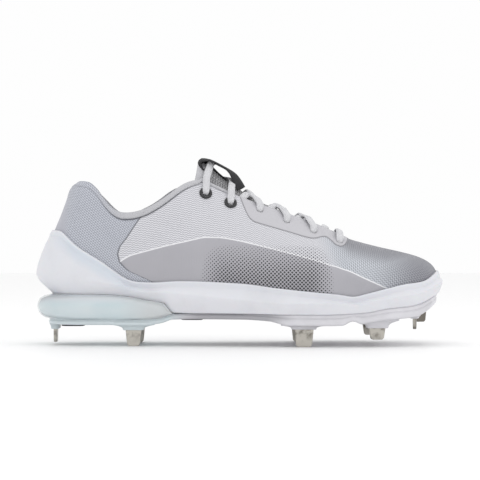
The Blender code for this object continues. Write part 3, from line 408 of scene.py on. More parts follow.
def tidy(piece, distance=2e-6):
    """Merge doubles, drop empty faces and turn all faces outwards."""
    made = bmesh.new()
    made.from_mesh(piece.data)
    bmesh.ops.remove_doubles(made, verts=made.verts, dist=distance)
    bmesh.ops.dissolve_degenerate(made, edges=made.edges, dist=1e-7)
    bmesh.ops.recalc_face_normals(made, faces=made.faces)
    made.to_mesh(piece.data)
    made.free()


# The outsole plate: one satin moulding with a hollowed waist, a rib round its edge and a boss over each stud.
# It is cemented under the carrier, and at the waist its side wall is painted darker: painted shade below the
# white foam.
RIB_RISE = 0.0012
BOSS_MARGIN = 0.0030
BLADE_THICK = 0.0024
CORE_SHARE = 0.55
EDGE_IN, EDGE_RISE, SEAM_STEP = 0.0016, 0.0014, 0.0005
BOSS_ROUND, BOSS_FLARE_LONG, BOSS_FLARE_WIDE = 0.0009, 0.0075, 0.0034
END_PLACE, END_FLARE = 0.4, 0.25
TOE_STUD_PLACE, TOE_STUD_LIFT = 0.44, 0.0046
# How far carrier bottom and plate stand back from the outline: x in lengths, insets in heel widths.
INSETS = [
    (-0.500, 0.175, 0.130),
    (-0.465, 0.135, 0.115),
    (-0.420, 0.092, 0.085),
    (-0.370, 0.076, 0.070),
    (-0.320, 0.070, 0.062),
    (-0.230, 0.062, 0.055),
    (-0.163, 0.050, 0.060),
    (0.000, 0.030, 0.060),
    (0.117, 0.016, 0.026),
    (0.350, 0.020, 0.030),
    (0.500, 0.035, 0.065),
]
# Studs: x in lengths, y and blade width in ball widths, foot and boss face above the floor in stud heights,
# turn in degrees.
STUDS = {
    "stud_heel_back": (-0.453, 0.000, 0.115, 0.148, 1.000, 90),
    "stud_heel_lateral": (-0.257, -0.245, 0.108, 0.000, 1.000, 0),
    "stud_heel_medial": (-0.257, 0.235, 0.108, 0.000, 1.000, 0),
    "stud_ball_lateral": (0.153, -0.365, 0.132, 0.000, 1.087, 0),
    "stud_ball_medial": (0.153, 0.345, 0.132, 0.000, 1.087, 0),
    "stud_fore_lateral": (0.329, -0.330, 0.113, 0.443, 1.157, 8),
    "stud_fore_medial": (0.329, 0.330, 0.113, 0.443, 1.157, -8),
    "stud_toe_lateral": (0.424, -0.185, 0.100, 1.040, 1.720, 82),
    "stud_toe_medial": (0.446, 0.105, 0.100, 1.390, 1.880, 24),
}
carrier_inset, plate_inset = curve(INSETS, 1, HEEL_WIDTH), curve(INSETS, 2, HEEL_WIDTH)
plate_finish = Finish("plate_plastic", paint(206, 205, 210), 0.40, Coat_Weight=0.15)
px, _, pz = plate_finish.xyz()
cloud, speck = plate_finish.noise(60.0), plate_finish.noise(900.0, 2.0)
plate_tint = plate_finish.blend(cloud.ramp(0.35, 0.7), paint(204, 203, 208), paint(216, 215, 220))
plate_tint = plate_finish.blend(1.0 - px.ramp(-0.052, -0.036), plate_tint, paint(202, 212, 216))
# Painted shade: the plate's side wall at the waist is painted darker grey, for the shade under the foam.
shade = pz.ramp(0.0165, 0.0200) * (1.0 - px.ramp(0.020, 0.040)) * px.ramp(-0.052, -0.030)
plate_tint = plate_finish.blend(shade * 0.9, plate_tint, paint(158, 157, 162))
plate_finish.wear(plate_tint, speck * 0.12 + 0.34, speck + cloud * 1.5, 0.0002, 0.25)


def eased(x, start, end):
    """A smooth step from 0 at start to 1 at end."""
    t = np.clip((np.asarray(x, float) - start) / (end - start), 0, 1)
    return t * t * (3 - 2 * t)


def on_layer(radius, height, lift=0.0):
    """Radius and height of a row that lies on a layer of the sole, raised by lift."""
    return radius, height(STATION + radius * ALONG) + lift


def new_piece(name, points, faces, materials):
    """A smooth piece at the origin from points and faces, riding on the shoe."""
    mesh = bpy.data.meshes.new(name)
    mesh.from_pydata(points, [], faces.tolist() if hasattr(faces, "tolist") else faces)
    for material in materials:
        mesh.materials.append(material)
    mesh.shade_smooth()
    piece = bpy.data.objects.new(name, mesh)
    bpy.context.scene.collection.objects.link(piece)
    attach(piece, "root")
    return piece


radius = OUTER - plate_inset(OUTER_X)
last = OUTER - carrier_inset(OUTER_X)
edge_x = STATION + radius * ALONG
low, high = plate_bottom(edge_x), np.minimum(plate_top(edge_x), carrier_under(OUTER_X) - GAP) + GAP
rows = []
for share in (0, 0.2, 0.4, 0.55, 0.60, 0.66):
    lift = RIB_RISE * (1 - eased(share, 0.55, 0.66))
    rows.append(on_layer(share * radius, plate_bottom, lift))
for turn in np.linspace(0, math.pi / 2, 6):
    rows.append((radius - EDGE_IN * (1 - math.sin(turn)), low + EDGE_RISE * (1 - math.cos(turn))))
middle = low + EDGE_RISE + (high - low - EDGE_RISE) * 0.45
rows += [(radius, middle), (radius - SEAM_STEP, middle + 0.0003), (radius - SEAM_STEP, middle + 0.0008)]
rows += [(radius, middle + 0.0011), (radius, high - SEAM_STEP), (radius - SEAM_STEP, high)]
half = np.minimum(CORE_SHARE * last, 0.60 * radius)
rows += [on_layer(half, plate_top), on_layer(0 * radius, plate_top)]
plate = new_piece("sole_plate", laid_rows(rows), grid_faces(len(rows), COUNT), [plate_finish.material])
tidy(plate)
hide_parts("outsole_plate")


def placed(x, y, turn, place):
    """A plan turned by an angle about its own middle and moved to its place."""
    c, s = math.cos(turn), math.sin(turn)
    return x * c - y * s + place[0], x * s + y * c + place[1]


def block(place, turn, levels, corners=28, square=5.0):
    """Rings of a block that is a superellipse in plan: levels are (height, half length, half width)."""
    angle = np.linspace(0, 2 * math.pi, corners, endpoint=False)
    c, s = np.cos(angle), np.sin(angle)
    unit_x, unit_y = np.sign(c) * np.abs(c) ** (2 / square), np.sign(s) * np.abs(s) ** (2 / square)
    rings = []
    for z, length, width in levels:
        x, y = placed(unit_x * length, unit_y * width, turn, place)
        rings.append(np.stack([x, y, np.full(corners, z)], axis=1))
    return rings


def ring_piece(name, groups, materials):
    """A piece of several closed blocks, each a list of rings whose ends are closed."""
    points, faces, start = [], [], 0
    for rings in groups:
        size = len(rings[0])
        points += rings
        faces += (grid_faces(len(rings), size) + start).tolist()
        faces.append(list(range(start + size - 1, start - 1, -1)))
        faces.append(list(range(start + size * (len(rings) - 1), start + size * len(rings))))
        start += size * len(rings)
    return new_piece(name, np.concatenate(points), faces, materials)


bosses = []
for x, y, width, foot, face, turn in STUDS.values():
    spread = END_FLARE if abs(x) > END_PLACE else 1.0
    half_blade = width * BALL_WIDTH / 2
    bottom = face * STUD_HEIGHT + (TOE_STUD_LIFT if x > TOE_STUD_PLACE else 0.0)
    under = max(float(plate_bottom(x * LENGTH)), bottom + 0.0015)
    wide, deep = half_blade + BOSS_MARGIN * 0.7, BLADE_THICK / 2 + BOSS_MARGIN * 0.7
    levels = [(bottom, wide - 0.0008, deep - 0.0008), (bottom + 0.0003, wide - 0.0002, deep - 0.0002),
              (bottom + BOSS_ROUND, wide, deep)]
    for rise in (0.25, 0.5, 0.68, 0.8, 0.9, 1.0):
        flare = rise ** 2.4 * spread
        z = bottom + BOSS_ROUND + (under - bottom - BOSS_ROUND) * rise
        levels.append((z, wide + BOSS_FLARE_LONG * flare, deep + BOSS_FLARE_WIDE * flare))
    levels.append((under + RIB_RISE + 0.0010, levels[-1][1], levels[-1][2]))
    bosses.append(block((x * LENGTH, y * BALL_WIDTH), math.radians(turn), levels))
stud_bosses = ring_piece("stud_bosses", bosses, [plate_finish.material])
tidy(stud_bosses)


# Painted shade under the sole: two thin dark slabs, stuck under the plate at the heel and the waist, stand in
# for the shade there. From the side only their lower edges show, as short dark lines.
shade_slab_finish = Finish("under_sole_shade", paint(40, 40, 44), 0.6)
SHADE_SLABS = [
    # x, y, half length, half width, drop
    (-0.1225, -0.004, 0.0085, 0.0120, 0.0014),
    (-0.0350, -0.012, 0.0080, 0.0100, 0.0010),
]
shade_slabs = []
# Each slab is a dark piece put where the sole shows shade: painted shade.
for x, y, long, wide, drop in SHADE_SLABS:
    under = float(plate_bottom(x))
    shade_slabs.append(block((x, y), 0.0, [(under - drop, long * 0.96, wide * 0.96), (under - 0.0002, long, wide)]))
under_sole_shade_slabs = ring_piece("under_sole_shade_slabs", shade_slabs, [shade_slab_finish.material])
tidy(under_sole_shade_slabs)


# The studs: nine blades pressed from steel sheet, along the sole, across it or aslant, each in its boss.
# Their faces are rolled bright and worn, and soil darkens them towards the boss. The toe blades are
# painted dark: painted shade.
steel_finish = Finish("stud_steel", paint(150, 146, 140), 0.32, Metallic=0.9)
sx, _, sz = steel_finish.xyz()
scratch = steel_finish.node("ShaderNodeTexNoise", 0, Vector=steel_finish.node(
    "ShaderNodeMapping", 0, Vector=steel_finish.place, Scale=(300.0, 300.0, 3000.0)), Scale=1.0, Detail=4.0)
soil = steel_finish.noise(220.0).ramp(0.45, 0.7) * sz.ramp(0.002, 0.012)
# The soil is dirt; the blades at the toe are painted dark as painted shade.
soil_and_toe_shade = soil.math("MAXIMUM", sx.ramp(0.1255, 0.1285) * 0.75)
steel_tint = steel_finish.blend(soil_and_toe_shade, paint(188, 184, 176), paint(70, 62, 54))
steel_finish.wear(steel_tint, scratch * 0.25 + 0.22 + soil * 0.2, scratch + soil, 0.0001, 0.5)
CORNER, BEVEL, BLADE_ROOT = 0.0022, 0.00035, 0.0020
for name, (x, y, width, foot, face, turn) in STUDS.items():
    wide, bottom, top = width * BALL_WIDTH / 2, foot * STUD_HEIGHT, face * STUD_HEIGHT
    top += TOE_STUD_LIFT if x > TOE_STUD_PLACE else 0.0
    low_wide = wide * 0.84
    turns = np.linspace(0, math.pi / 2, 7)
    corner = low_wide - CORNER * (1 - np.cos(turns)), bottom + CORNER * (1 - np.sin(turns))
    side = np.concatenate([[[wide, top + BLADE_ROOT], [wide, top]], np.stack(corner, axis=1)])
    outline = np.concatenate([side, side[::-1] * (-1, 1)])
    centre = np.array([0.0, (bottom + top) / 2])
    rings = []
    flat_depth = 1 - BEVEL / BLADE_THICK * 2
    for depth, shrink in ((-1, BEVEL), (-flat_depth, 0), (flat_depth, 0), (1, BEVEL)):
        inward = (centre - outline) / np.linalg.norm(centre - outline, axis=1, keepdims=True) * shrink
        flat = outline + inward
        local_y = np.full(len(flat), depth * BLADE_THICK / 2)
        plan_x, plan_y = placed(flat[:, 0], local_y, math.radians(turn), (x * LENGTH, y * BALL_WIDTH))
        rings.append(np.stack([plan_x, plan_y, flat[:, 1]], axis=1))
    blade = ring_piece("blade_" + name[5:], [rings], [steel_finish.material])
    tidy(blade)
    blade.data.set_sharp_from_angle(angle=math.radians(35))
    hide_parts(name)


# The air unit: a blown bag of clear film, faintly green-blue, held between plate and carrier under the heel.
# It bulges past both at the back and sides and ends in a blunt front at the waist.
air_finish = Finish("clear_air_unit", paint(205, 226, 229), 0.09, Transmission_Weight=0.55, IOR=1.35,
                    Coat_Weight=0.6)
ax, _, az = air_finish.xyz()
glow = ((az * 300.0).sine() * 0.5 + 0.5) * 0.3 + air_finish.noise(35.0) * 0.7
air_tint = air_finish.blend(glow.ramp(0.25, 0.8), paint(204, 226, 232), paint(232, 240, 243))
# Painted highlight: the bag's top shoulder is painted paler, for the light streak reflected there.
air_tint = air_finish.blend(az.ramp(0.0300, 0.0345), air_tint, paint(226, 229, 234))
air_tint = air_finish.blend(ax.ramp(-0.088, -0.066), air_tint, paint(222, 226, 228))
# Painted light: the bag's foot is painted paler, to lift the shade that falls there.
air_tint = air_finish.blend((1.0 - az.ramp(0.0185, 0.0225)) * 0.4, air_tint, paint(226, 234, 238))
air_finish.wear(air_tint, air_finish.noise(80.0) * 0.08 + 0.06, air_finish.noise(45.0, 1.0), 0.0006, 0.18)
inset = carrier_inset(OUTER_X)
bottom, top = plate_top(OUTER_X) - GAP, carrier_under(OUTER_X) + GAP
rows = [on_layer(0 * OUTER, plate_top, GAP), on_layer(CORE_SHARE * last, plate_top, GAP)]
BULGE = [(0.0, 0.62), (0.08, 0.42), (0.24, 0.17), (0.50, 0.05), (0.76, 0.15), (0.92, 0.42), (1.0, 0.90)]
bulge = curve(BULGE, 1, 1.0, 1.0)
foot_inset = plate_inset(OUTER_X)
for share in (0.0, 0.02, 0.06, 0.12, 0.2, 0.3, 0.4, 0.5, 0.6, 0.7, 0.8, 0.87, 0.93, 0.97, 1.0):
    low_part = 1 - eased(share, 0.0, 0.22)
    foot = 0.45 + 0.55 * (1 - eased(share, 0.0, 0.10))
    draw_in = inset * bulge(share) * (1 - low_part) + foot_inset * foot * low_part
    rows.append((OUTER - draw_in, bottom + (top - bottom) * share))
rows += [on_layer(CORE_SHARE * last, carrier_under, -GAP), on_layer(0 * OUTER, carrier_under, -GAP)]
order = np.arange(COUNT)
inside = STATION <= AIR_FRONT + 1e-6
keep = np.concatenate([order[inside & (SIDE > 0)], order[inside & (SIDE < 0)]])
points = laid_rows(rows).reshape(len(rows), COUNT, 3)[:, keep]
faces = grid_faces(len(rows), len(keep), closed=False).tolist()
front = [j * len(keep) + len(keep) - 1 for j in range(len(rows))]
back = [j * len(keep) for j in range(len(rows) - 2, 0, -1)]
faces.append(front + back)
air_unit = new_piece("air_bag", points.reshape(-1, 3), faces, [air_finish.material])
tidy(air_unit)
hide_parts("air_unit")


# The carrier: white injected foam in one piece, from the footbed up to a rolled lip round the upper and a
# tall cup behind the heel. Its skin is satin, with a faint orange peel and soft grey clouds.
foam_finish = Finish("carrier_foam", paint(228, 227, 231), 0.46, Subsurface_Weight=0.05)
fx = foam_finish.xyz()[0]
peel, scuff = foam_finish.noise(1400.0, 2.0), foam_finish.noise(26.0, 5.0, 0.65)
foam_tint = foam_finish.blend(scuff.ramp(0.50, 0.78) * 0.5, paint(220, 219, 224), paint(202, 201, 206))
f_lip = foam_finish.field("lip_gap")
veil = (1.0 - f_lip.ramp(0.0070, 0.0135)) * f_lip.ramp(0.0004, 0.0020) * (1.0 - fx.ramp(-0.098, -0.060))
veil = veil * fx.ramp(-0.140, -0.122)
foam_tint = foam_finish.blend(veil * 0.6, foam_tint, paint(200, 207, 217))
foam_finish.wear(foam_tint, scuff * 0.15 + 0.38, peel + scuff * 0.6, 0.00018, 0.3)
# Upper edge of the carrier: x in lengths, height in cup heights.
CUP_EDGE = [
    (-0.500, 1.010), (-0.450, 1.000), (-0.395, 0.870), (-0.337, 0.743), (-0.250, 0.560), (-0.210, 0.554),
    (-0.147, 0.566), (0.000, 0.547), (0.087, 0.508), (0.170, 0.476), (0.248, 0.448), (0.267, 0.434),
    (0.305, 0.464), (0.340, 0.495), (0.393, 0.540), (0.447, 0.564), (0.479, 0.621), (0.500, 0.656),
]
CUP_CLEAR, BULGE_SHARE = 1.35 * GAP, 0.24
LIP_ROUND, LIP_STEP, LIP_FOOT = 0.0010, 0.0005, 0.72
cup_edge = curve(CUP_EDGE, 1, CUP_HEIGHT)


def softly(function, x, reach=0.004):
    """A function of x averaged over a short reach, which rounds its corners."""
    return sum(function(x + reach * k) * w for k, w in ((-1, 1), (-0.5, 2), (0, 3), (0.5, 2), (1, 1))) / 9


def put_field(piece, name, values):
    """Store one number on each point."""
    layer_of = piece.data.attributes.new(name, "FLOAT", "POINT")
    layer_of.data.foreach_set("value", np.ascontiguousarray(values, np.float32))


cup_top = softly(cup_edge, OUTER_X)
under = carrier_under(OUTER_X)
bulge_z = np.minimum(np.maximum(FOOTBED + BULGE_SHARE * (cup_top - FOOTBED), under + 0.008), cup_top - 0.0060)


def cup_inner(z):
    """Inner face of the cup: the upper's outer face and the clearance."""
    return upper_radius(z) + CUP_CLEAR


low = cup_inner(FOOTBED)
rows = [on_layer(0 * OUTER, footbed), on_layer(CORE_SHARE * low, footbed)]
for t in np.linspace(0, 1, 14):
    z = FOOTBED + (cup_top - FOOTBED) * t
    rows.append((cup_inner(z), z))
rim = cup_inner(cup_top)
for turn in np.linspace(0.3, math.pi / 2, 5):
    rows.append((rim + LIP_WALL * (0.4 + 0.6 * math.sin(turn)), cup_top - LIP_ROUND * (1 - math.cos(turn))))
lip = cup_top - LIP_HEIGHT
for share in (0.35, 0.7, 1.0):
    z = cup_top - LIP_ROUND + (lip - cup_top + LIP_ROUND) * share
    rows.append((cup_inner(z) + LIP_WALL, z))
fill = OUTER - cup_inner(bulge_z)
for t in np.linspace(0, 1, 10):
    z = lip - LIP_STEP + (bulge_z - lip + LIP_STEP) * t
    out = (fill - LIP_WALL * LIP_FOOT) * (0.12 + 0.88 * t ** 1.3)
    rows.append((cup_inner(z) + LIP_WALL * LIP_FOOT + out, z))
DRAW_IN = [(0.0, 0.0), (0.22, 0.10), (0.5, 0.38), (0.8, 0.75), (1.0, 1.0)]
draw = curve(DRAW_IN, 1, 1.0, 1.0)
inset = carrier_inset(OUTER_X)
for t in np.linspace(0.1, 1, 9):
    rows.append((OUTER - inset * draw(t), bulge_z + (under - bulge_z) * t))
rows += [on_layer(CORE_SHARE * last, carrier_under), on_layer(0 * OUTER, carrier_under)]
carrier = new_piece("foam_carrier", laid_rows(rows), grid_faces(len(rows), COUNT), [foam_finish.material])
put_field(carrier, "lip_gap", np.concatenate([cup_top - z * np.ones(COUNT) for _, z in rows]))
tidy(carrier)
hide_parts("midsole")


# The insole: a thin moulded sock liner of dark knit over foam that lies loose on the footbed.
insole_finish = Finish("insole_textile", paint(64, 65, 70), 0.85, Sheen_Weight=0.3)
ix, iy, _ = insole_finish.xyz()
weave = (ix * 5200.0).sine() * (iy * 5200.0).sine()
insole_tint = insole_finish.blend(weave * 0.5 + 0.5, paint(48, 49, 54), paint(84, 85, 90))
insole_finish.wear(insole_tint, height=weave, depth=0.0002)
INSOLE_THICK, UPPER_WALL = 0.0036, 0.0022
edge = low - CUP_CLEAR - UPPER_WALL - 3 * GAP
half, bed = on_layer(CORE_SHARE * low, footbed)
edge_bed = bed + (FOOTBED - bed) * (edge - half) / (low - half)
rows = [on_layer(0 * low, footbed, GAP), (half, bed + GAP), (edge, edge_bed + GAP)]
for turn in np.linspace(0, math.pi / 2, 5):
    z = edge_bed + GAP + INSOLE_THICK * (0.5 + 0.5 * math.sin(turn))
    rows.append((edge - 0.0018 * (1 - math.cos(turn)), z))
rows.append((0.8 * edge, bed * 0.4 + edge_bed * 0.6 + 0.95 * INSOLE_THICK))
rows.append((half, bed + GAP + 0.92 * INSOLE_THICK))
rows.append(on_layer(0 * low, footbed, GAP + 0.92 * INSOLE_THICK))
insole = new_piece("sock_liner", laid_rows(rows), grid_faces(len(rows), COUNT), [insole_finish.material])
tidy(insole)
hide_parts("insole")


# The upper: one lasted shell of silver ribbed textile, with a heel panel of blue-grey mesh, a smooth grey
# film on the side, a pebbled toe skin, a coated eyestay with scalloped edge and a padded, bound collar.
# Each panel's edge is a distance kept on the points, from which its colour, step and stitch line are made.
EYESTAY_STEP, FILM_STEP, SEAM_TAPE, SEAM_GROOVE = 0.0006, 0.00030, 0.00025, 0.0006
COLLAR_PAD, CUFF_DEPTH, BINDING_ROLL, HEEL_EASE = 0.0036, 0.0090, 0.0008, 0.0016
EYELET_RADIUS, TOP_EYELET_RADIUS, TOP_EYELETS = 0.0023, 0.0031, 2
# Eyelets, from the ankle to the toe: x in lengths, distance from the ridge line in half widths.
EYELETS = [(-0.083, 0.638), (-0.023, 0.602), (0.047, 0.495), (0.113, 0.485), (0.177, 0.510), (0.240, 0.555)]
LOW_ROWS, SIDE_ROWS, BAND_ROWS = 8, 46, 22
MEDIAL_DROP = 0.0045
# Edge of the collar: x in lengths, height in heel heights.
COLLAR = [
    (-0.500, 0.985), (-0.406, 0.988), (-0.388, 1.002), (-0.361, 0.985), (-0.347, 0.951), (-0.336, 0.911),
    (-0.322, 0.863), (-0.307, 0.828), (-0.290, 0.804), (-0.272, 0.801), (-0.250, 0.808), (-0.226, 0.828),
    (-0.197, 0.867), (-0.169, 0.916), (-0.144, 0.964), (-0.122, 0.991), (-0.095, 1.003),
]
# Lower edge of the padded cuff and, from the waist forward, of the eyestay: x in lengths, height in instep
# heights.
BAND_EDGE = [
    (-0.095, 0.885), (-0.023, 0.800), (0.010, 0.762), (0.067, 0.709), (0.117, 0.674), (0.167, 0.637),
    (0.213, 0.612), (0.240, 0.586), (0.263, 0.588),
]
collar_height, band_height = curve(COLLAR, 1, HEEL_HEIGHT), curve(BAND_EDGE, 1, INSTEP_HEIGHT)
throat_share = curve(THROAT, 1)


def top_height():
    """Height where each rib's outer face ends: collar, throat edge, or the closed ridge of the toe."""
    x = STATION
    rim_x = STATION + heel_reach(HEEL_HEIGHT * 0.98) * ALONG
    falling = eased(rim_x, -0.120, -0.111) * (1 - eased(rim_x, -0.090, -0.081))
    collar = softly(collar_height, rim_x + np.where(SIDE > 0, MEDIAL_DROP, 0) * falling)
    rounding = np.sqrt(np.clip(1 - ((x - THROAT_ROUND) / (THROAT_END - THROAT_ROUND)) ** 2, 0, 1))
    share = throat_share(x) * np.where(x > THROAT_ROUND, rounding, 1.0)
    throat = WIDEST + RISE * (1 - share ** POWER) ** (1 / POWER)
    closed = (PART == 2) | (x > THROAT_END - 1e-6)
    return np.where(closed, WIDEST + RISE, np.where(x < THROAT_BACK, collar, throat)), closed


TOP, CLOSED = top_height()
cuff_line = TOP - CUFF_DEPTH
toe_line = WIDEST + 0.80 * RISE
blend = eased(STATION, THROAT_BACK - 0.010, THROAT_BACK + 0.002)
BAND = cuff_line * (1 - blend) + band_height(STATION) * blend
ahead = eased(STATION, THROAT_END - 0.001, THROAT_END + 0.014)
BAND = np.minimum(BAND * (1 - ahead) + toe_line * ahead, TOP - 0.0030)


def sweep_angle(z):
    """Section angle at height z: 0 at the widest point, a quarter turn at the ridge."""
    return np.arcsin(np.clip((z - WIDEST) / RISE, 0, 1) ** (POWER / 2))


def swept(angle):
    """Radius and height of the outer face at one section angle on each rib."""
    z = WIDEST + RISE * np.sin(angle) ** (2 / POWER)
    toe_radius = BASE * np.maximum(np.cos(angle), 0) ** (2 / TOE_SQUARE)
    toe_z = WIDEST + (RISE - TOE_FALL * toe_radius) * np.sin(angle) ** (2 / TOE_CROWN)
    return np.where(PART == 2, toe_radius, upper_radius(z)), np.where(PART == 2, toe_z, z)


start = FOOTBED + GAP
skin_rows = [(upper_radius(z), z) for z in (start + (WIDEST - start) * k / LOW_ROWS for k in range(LOW_ROWS))]
top_angle, band_angle = sweep_angle(TOP), sweep_angle(BAND)
turns = [band_angle * k / SIDE_ROWS for k in range(SIDE_ROWS)]
turns += [band_angle + (top_angle - band_angle) * k / BAND_ROWS for k in range(BAND_ROWS + 1)]
skin_rows += [swept(angle) for angle in turns]
skin = laid_rows(skin_rows)
skin_faces = grid_faces(len(skin_rows), COUNT)
skin_grid = skin.reshape(len(skin_rows), COUNT, 3)
girth = np.zeros(skin_grid.shape[:2])
girth[1:] = np.cumsum(np.linalg.norm(np.diff(skin_grid, axis=0), axis=2), axis=0)
belt = skin_grid[LOW_ROWS + 12]
around = np.cumsum(np.linalg.norm(np.diff(belt, axis=0, append=belt[:1]), axis=1))
arc = np.concatenate([[0], around[:-1]])
arc = np.minimum(arc, around[-1] - arc)


def across_line(table):
    """Signed distance in the side's plane from a drawn line of (x, z) in metres: positive above it."""
    xs, zs = np.array(table).T
    middles, slopes = (xs[1:] + xs[:-1]) / 2, np.diff(zs) / np.diff(xs)
    return lambda x, z: (z - np.interp(x, xs, zs)) * np.cos(np.arctan(np.interp(x, middles, slopes)))


def rounded(table, step=0.001, reach=3):
    """A drawn line resampled finely and smoothed a little."""
    xs, zs = np.array(table, float).T
    fine = np.arange(xs[0], xs[-1] + step, step)
    value = np.interp(fine, xs, zs)
    padded = np.pad(value, reach, mode="edge")
    smooth = np.convolve(padded, np.ones(2 * reach + 1) / (2 * reach + 1), mode="valid")
    return np.stack([fine, smooth], axis=1)


# Drawn lines of the panels, in metres, read from the side: (x, z), and (z, x) for the heel seam.
FILM_EDGE = rounded([(-0.150, 0.0380), (-0.100, 0.0535), (-0.088, 0.0600), (-0.080, 0.0653), (-0.055, 0.0720),
                     (-0.026, 0.0786), (-0.013, 0.0783), (0.000, 0.0760), (0.020, 0.0712), (0.040, 0.0660),
                     (0.060, 0.0602), (0.077, 0.0547), (0.090, 0.0487), (0.101, 0.0438), (0.150, 0.0220)])
HEEL_SEAM = [(0.0300, -0.0560), (0.0400, -0.0585), (0.0463, -0.0628), (0.0505, -0.0715), (0.0548, -0.0811),
             (0.0610, -0.0869), (0.0667, -0.0883), (0.0720, -0.0868), (0.0782, -0.0819), (0.0860, -0.0768),
             (0.0934, -0.0718), (0.1250, -0.0520)]
STAY_EDGE = rounded([(-0.020, 0.1400), (-0.004, 0.1200), (0.000, 0.1085), (0.004, 0.0970), (0.008, 0.0905),
                     (0.020, 0.0869), (0.035, 0.0826), (0.048, 0.0786), (0.054, 0.0775), (0.060, 0.0795),
                     (0.064, 0.0792), (0.067, 0.0746), (0.0715, 0.0716), (0.076, 0.0722), (0.080, 0.0790),
                     (0.084, 0.0900), (0.110, 0.1300)])
X, Y, Z = skin.T
film = across_line(FILM_EDGE)(X, Z)
stay = across_line(STAY_EDGE)(X, Z)
seam = X - np.interp(Z, *np.array(HEEL_SEAM).T)
rim_gap = (np.repeat(girth[-1][None], len(skin_rows), axis=0) - girth).ravel()
open_rim = np.tile(~CLOSED, len(skin_rows))
rim_unit = rim_gap / np.tile(0.0052 - 0.0026 * eased(STATION, -0.045, -0.018), len(skin_rows))
cuffed = np.tile(1 - eased(STATION, THROAT_BACK - 0.022, THROAT_BACK), len(skin_rows))
ridge_gap = np.tile(RISE, len(skin_rows)) - (Z - np.tile(WIDEST, len(skin_rows)))
# Painted shade: the toe's front and its top near the ridge are painted darker grey.
toe_part = np.maximum(eased(X, 0.088, 0.134), eased(X, 0.064, 0.078) * (1 - eased(ridge_gap, 0.003, 0.017)))
toe_skin = eased(X + 0.35 * (Z - 0.05), 0.062, 0.078)

# Creases and hollows of the soft upper, placed on the lateral side: (x, z, half length, half width,
# slope, depth). The medial side has them 6 mm further forward. A positive depth is a trough, a negative one a
# ridge.
CREASES = [
    (0.060, 0.052, 0.0170, 0.0034, 1.15, 0.00055), (0.071, 0.054, 0.0150, 0.0032, 1.25, 0.00050),
    (0.050, 0.048, 0.0150, 0.0036, 1.05, 0.00040), (0.0655, 0.0530, 0.0150, 0.0022, 1.20, -0.00030),
    (-0.052, 0.086, 0.0200, 0.0042, -0.55, 0.00060), (-0.070, 0.082, 0.0160, 0.0050, 0.75, 0.00045),
    (-0.035, 0.062, 0.0260, 0.0070, 0.15, 0.00050), (0.012, 0.056, 0.0260, 0.0065, -0.25, 0.00045),
    (-0.112, 0.096, 0.0160, 0.0050, 0.10, 0.00045), (0.084, 0.0485, 0.0140, 0.0034, -0.50, -0.00060),
    (0.087, 0.0430, 0.0120, 0.0030, -0.35, 0.00050), (0.026, 0.072, 0.0200, 0.0050, -0.20, 0.00040),
]
dent = np.zeros(len(skin))
for x, z, long, wide, slope, depth in CREASES:
    turn = math.atan(slope)
    for side, slip in ((-1, 0.0), (1, 0.006)):
        along = (X - x - slip) * math.cos(turn) + (Z - z) * math.sin(turn)
        off = -(X - x - slip) * math.sin(turn) + (Z - z) * math.cos(turn)
        off = off + 0.0012 * np.sin(along * 170 + x * 900)
        dent += np.where(Y * side > 0, depth, 0) * np.exp(-(along / long) ** 2 - (off / wide) ** 2)


def grid_normals(grid):
    """Unit normals of a closed grid of rows, pointing away from its inside."""
    along = np.roll(grid, -1, axis=1) - np.roll(grid, 1, axis=1)
    up = np.gradient(grid, axis=0)
    normal = np.cross(up, along)
    length = np.linalg.norm(normal, axis=2, keepdims=True)
    return np.where(length > 1e-12, normal / np.maximum(length, 1e-12), [0, 0, 1.0])


normal = grid_normals(skin_grid).reshape(-1, 3)
if (normal[np.argmin(Y)] * (0, -1, 0)).sum() < 0:
    normal = -normal
lift = FILM_STEP * (1 - eased(film, -0.0006, 0.0006)) * eased(seam, 0.0, 0.0015)
lift += EYESTAY_STEP * eased(stay, -0.0007, 0.0007) * eased(X, -0.004, 0.004)
lift += SEAM_TAPE * (1 - eased(np.abs(seam), 0.0, 0.0022)) - SEAM_GROOVE * np.exp(-(seam / 0.0007) ** 2)
collar_roll = cuffed * open_rim
rolled = open_rim * np.tile(1 - eased(STATION, -0.012, -0.004), len(skin_rows)) * eased(X, -0.112, -0.080)
lift += rolled * BINDING_ROLL * (1 - eased(rim_unit, 0.77, 1.0)) * (0.4 + 0.6 * eased(rim_unit, 0.0, 0.5))
lift -= (0.25 * collar_roll + 0.75 * rolled) * 0.0006 * np.exp(-((rim_unit - 1) / 0.12) ** 2)
padding = eased(-rim_gap, -0.030, -0.016) * eased(rim_gap, 0.0052, 0.0090)
lift += collar_roll * (0.0003 + 0.0008 * eased(X, -0.105, -0.085)) * padding
at_heel = 1 - eased(X, -0.112, -0.092)
lift -= open_rim * at_heel * HEEL_EASE * (1 - eased(rim_gap, 0.0, 0.0065)) ** 2
held = np.where(open_rim, 1.0, eased(rim_gap, 0.0, 0.004))
skin = skin + normal * ((lift - dent) * held)[:, None]
skin[:, 2] = np.minimum(skin[:, 2], cad_box[1][2])


def upper_side(x, side):
    """Half width of the upper on the lateral (-1) or medial (1) side."""
    return half_width(x, side) - CUP_WALL - GAP


def upper_half(x, y):
    """Half width of the upper on the side of the ridge line where y lies."""
    return np.where(y < ridge_shift(x), upper_side(x, -1), upper_side(x, 1))


def section_height(x, y):
    """Height of the upper's outer face over a point of the instep, as if the throat were closed."""
    power = section_power(x)
    share = np.clip(np.abs(y - ridge_shift(x)) / upper_half(x, y), 0, 0.999)
    return widest_height(x) + (ridge_height(x) - widest_height(x)) * (1 - share ** power) ** (1 / power)


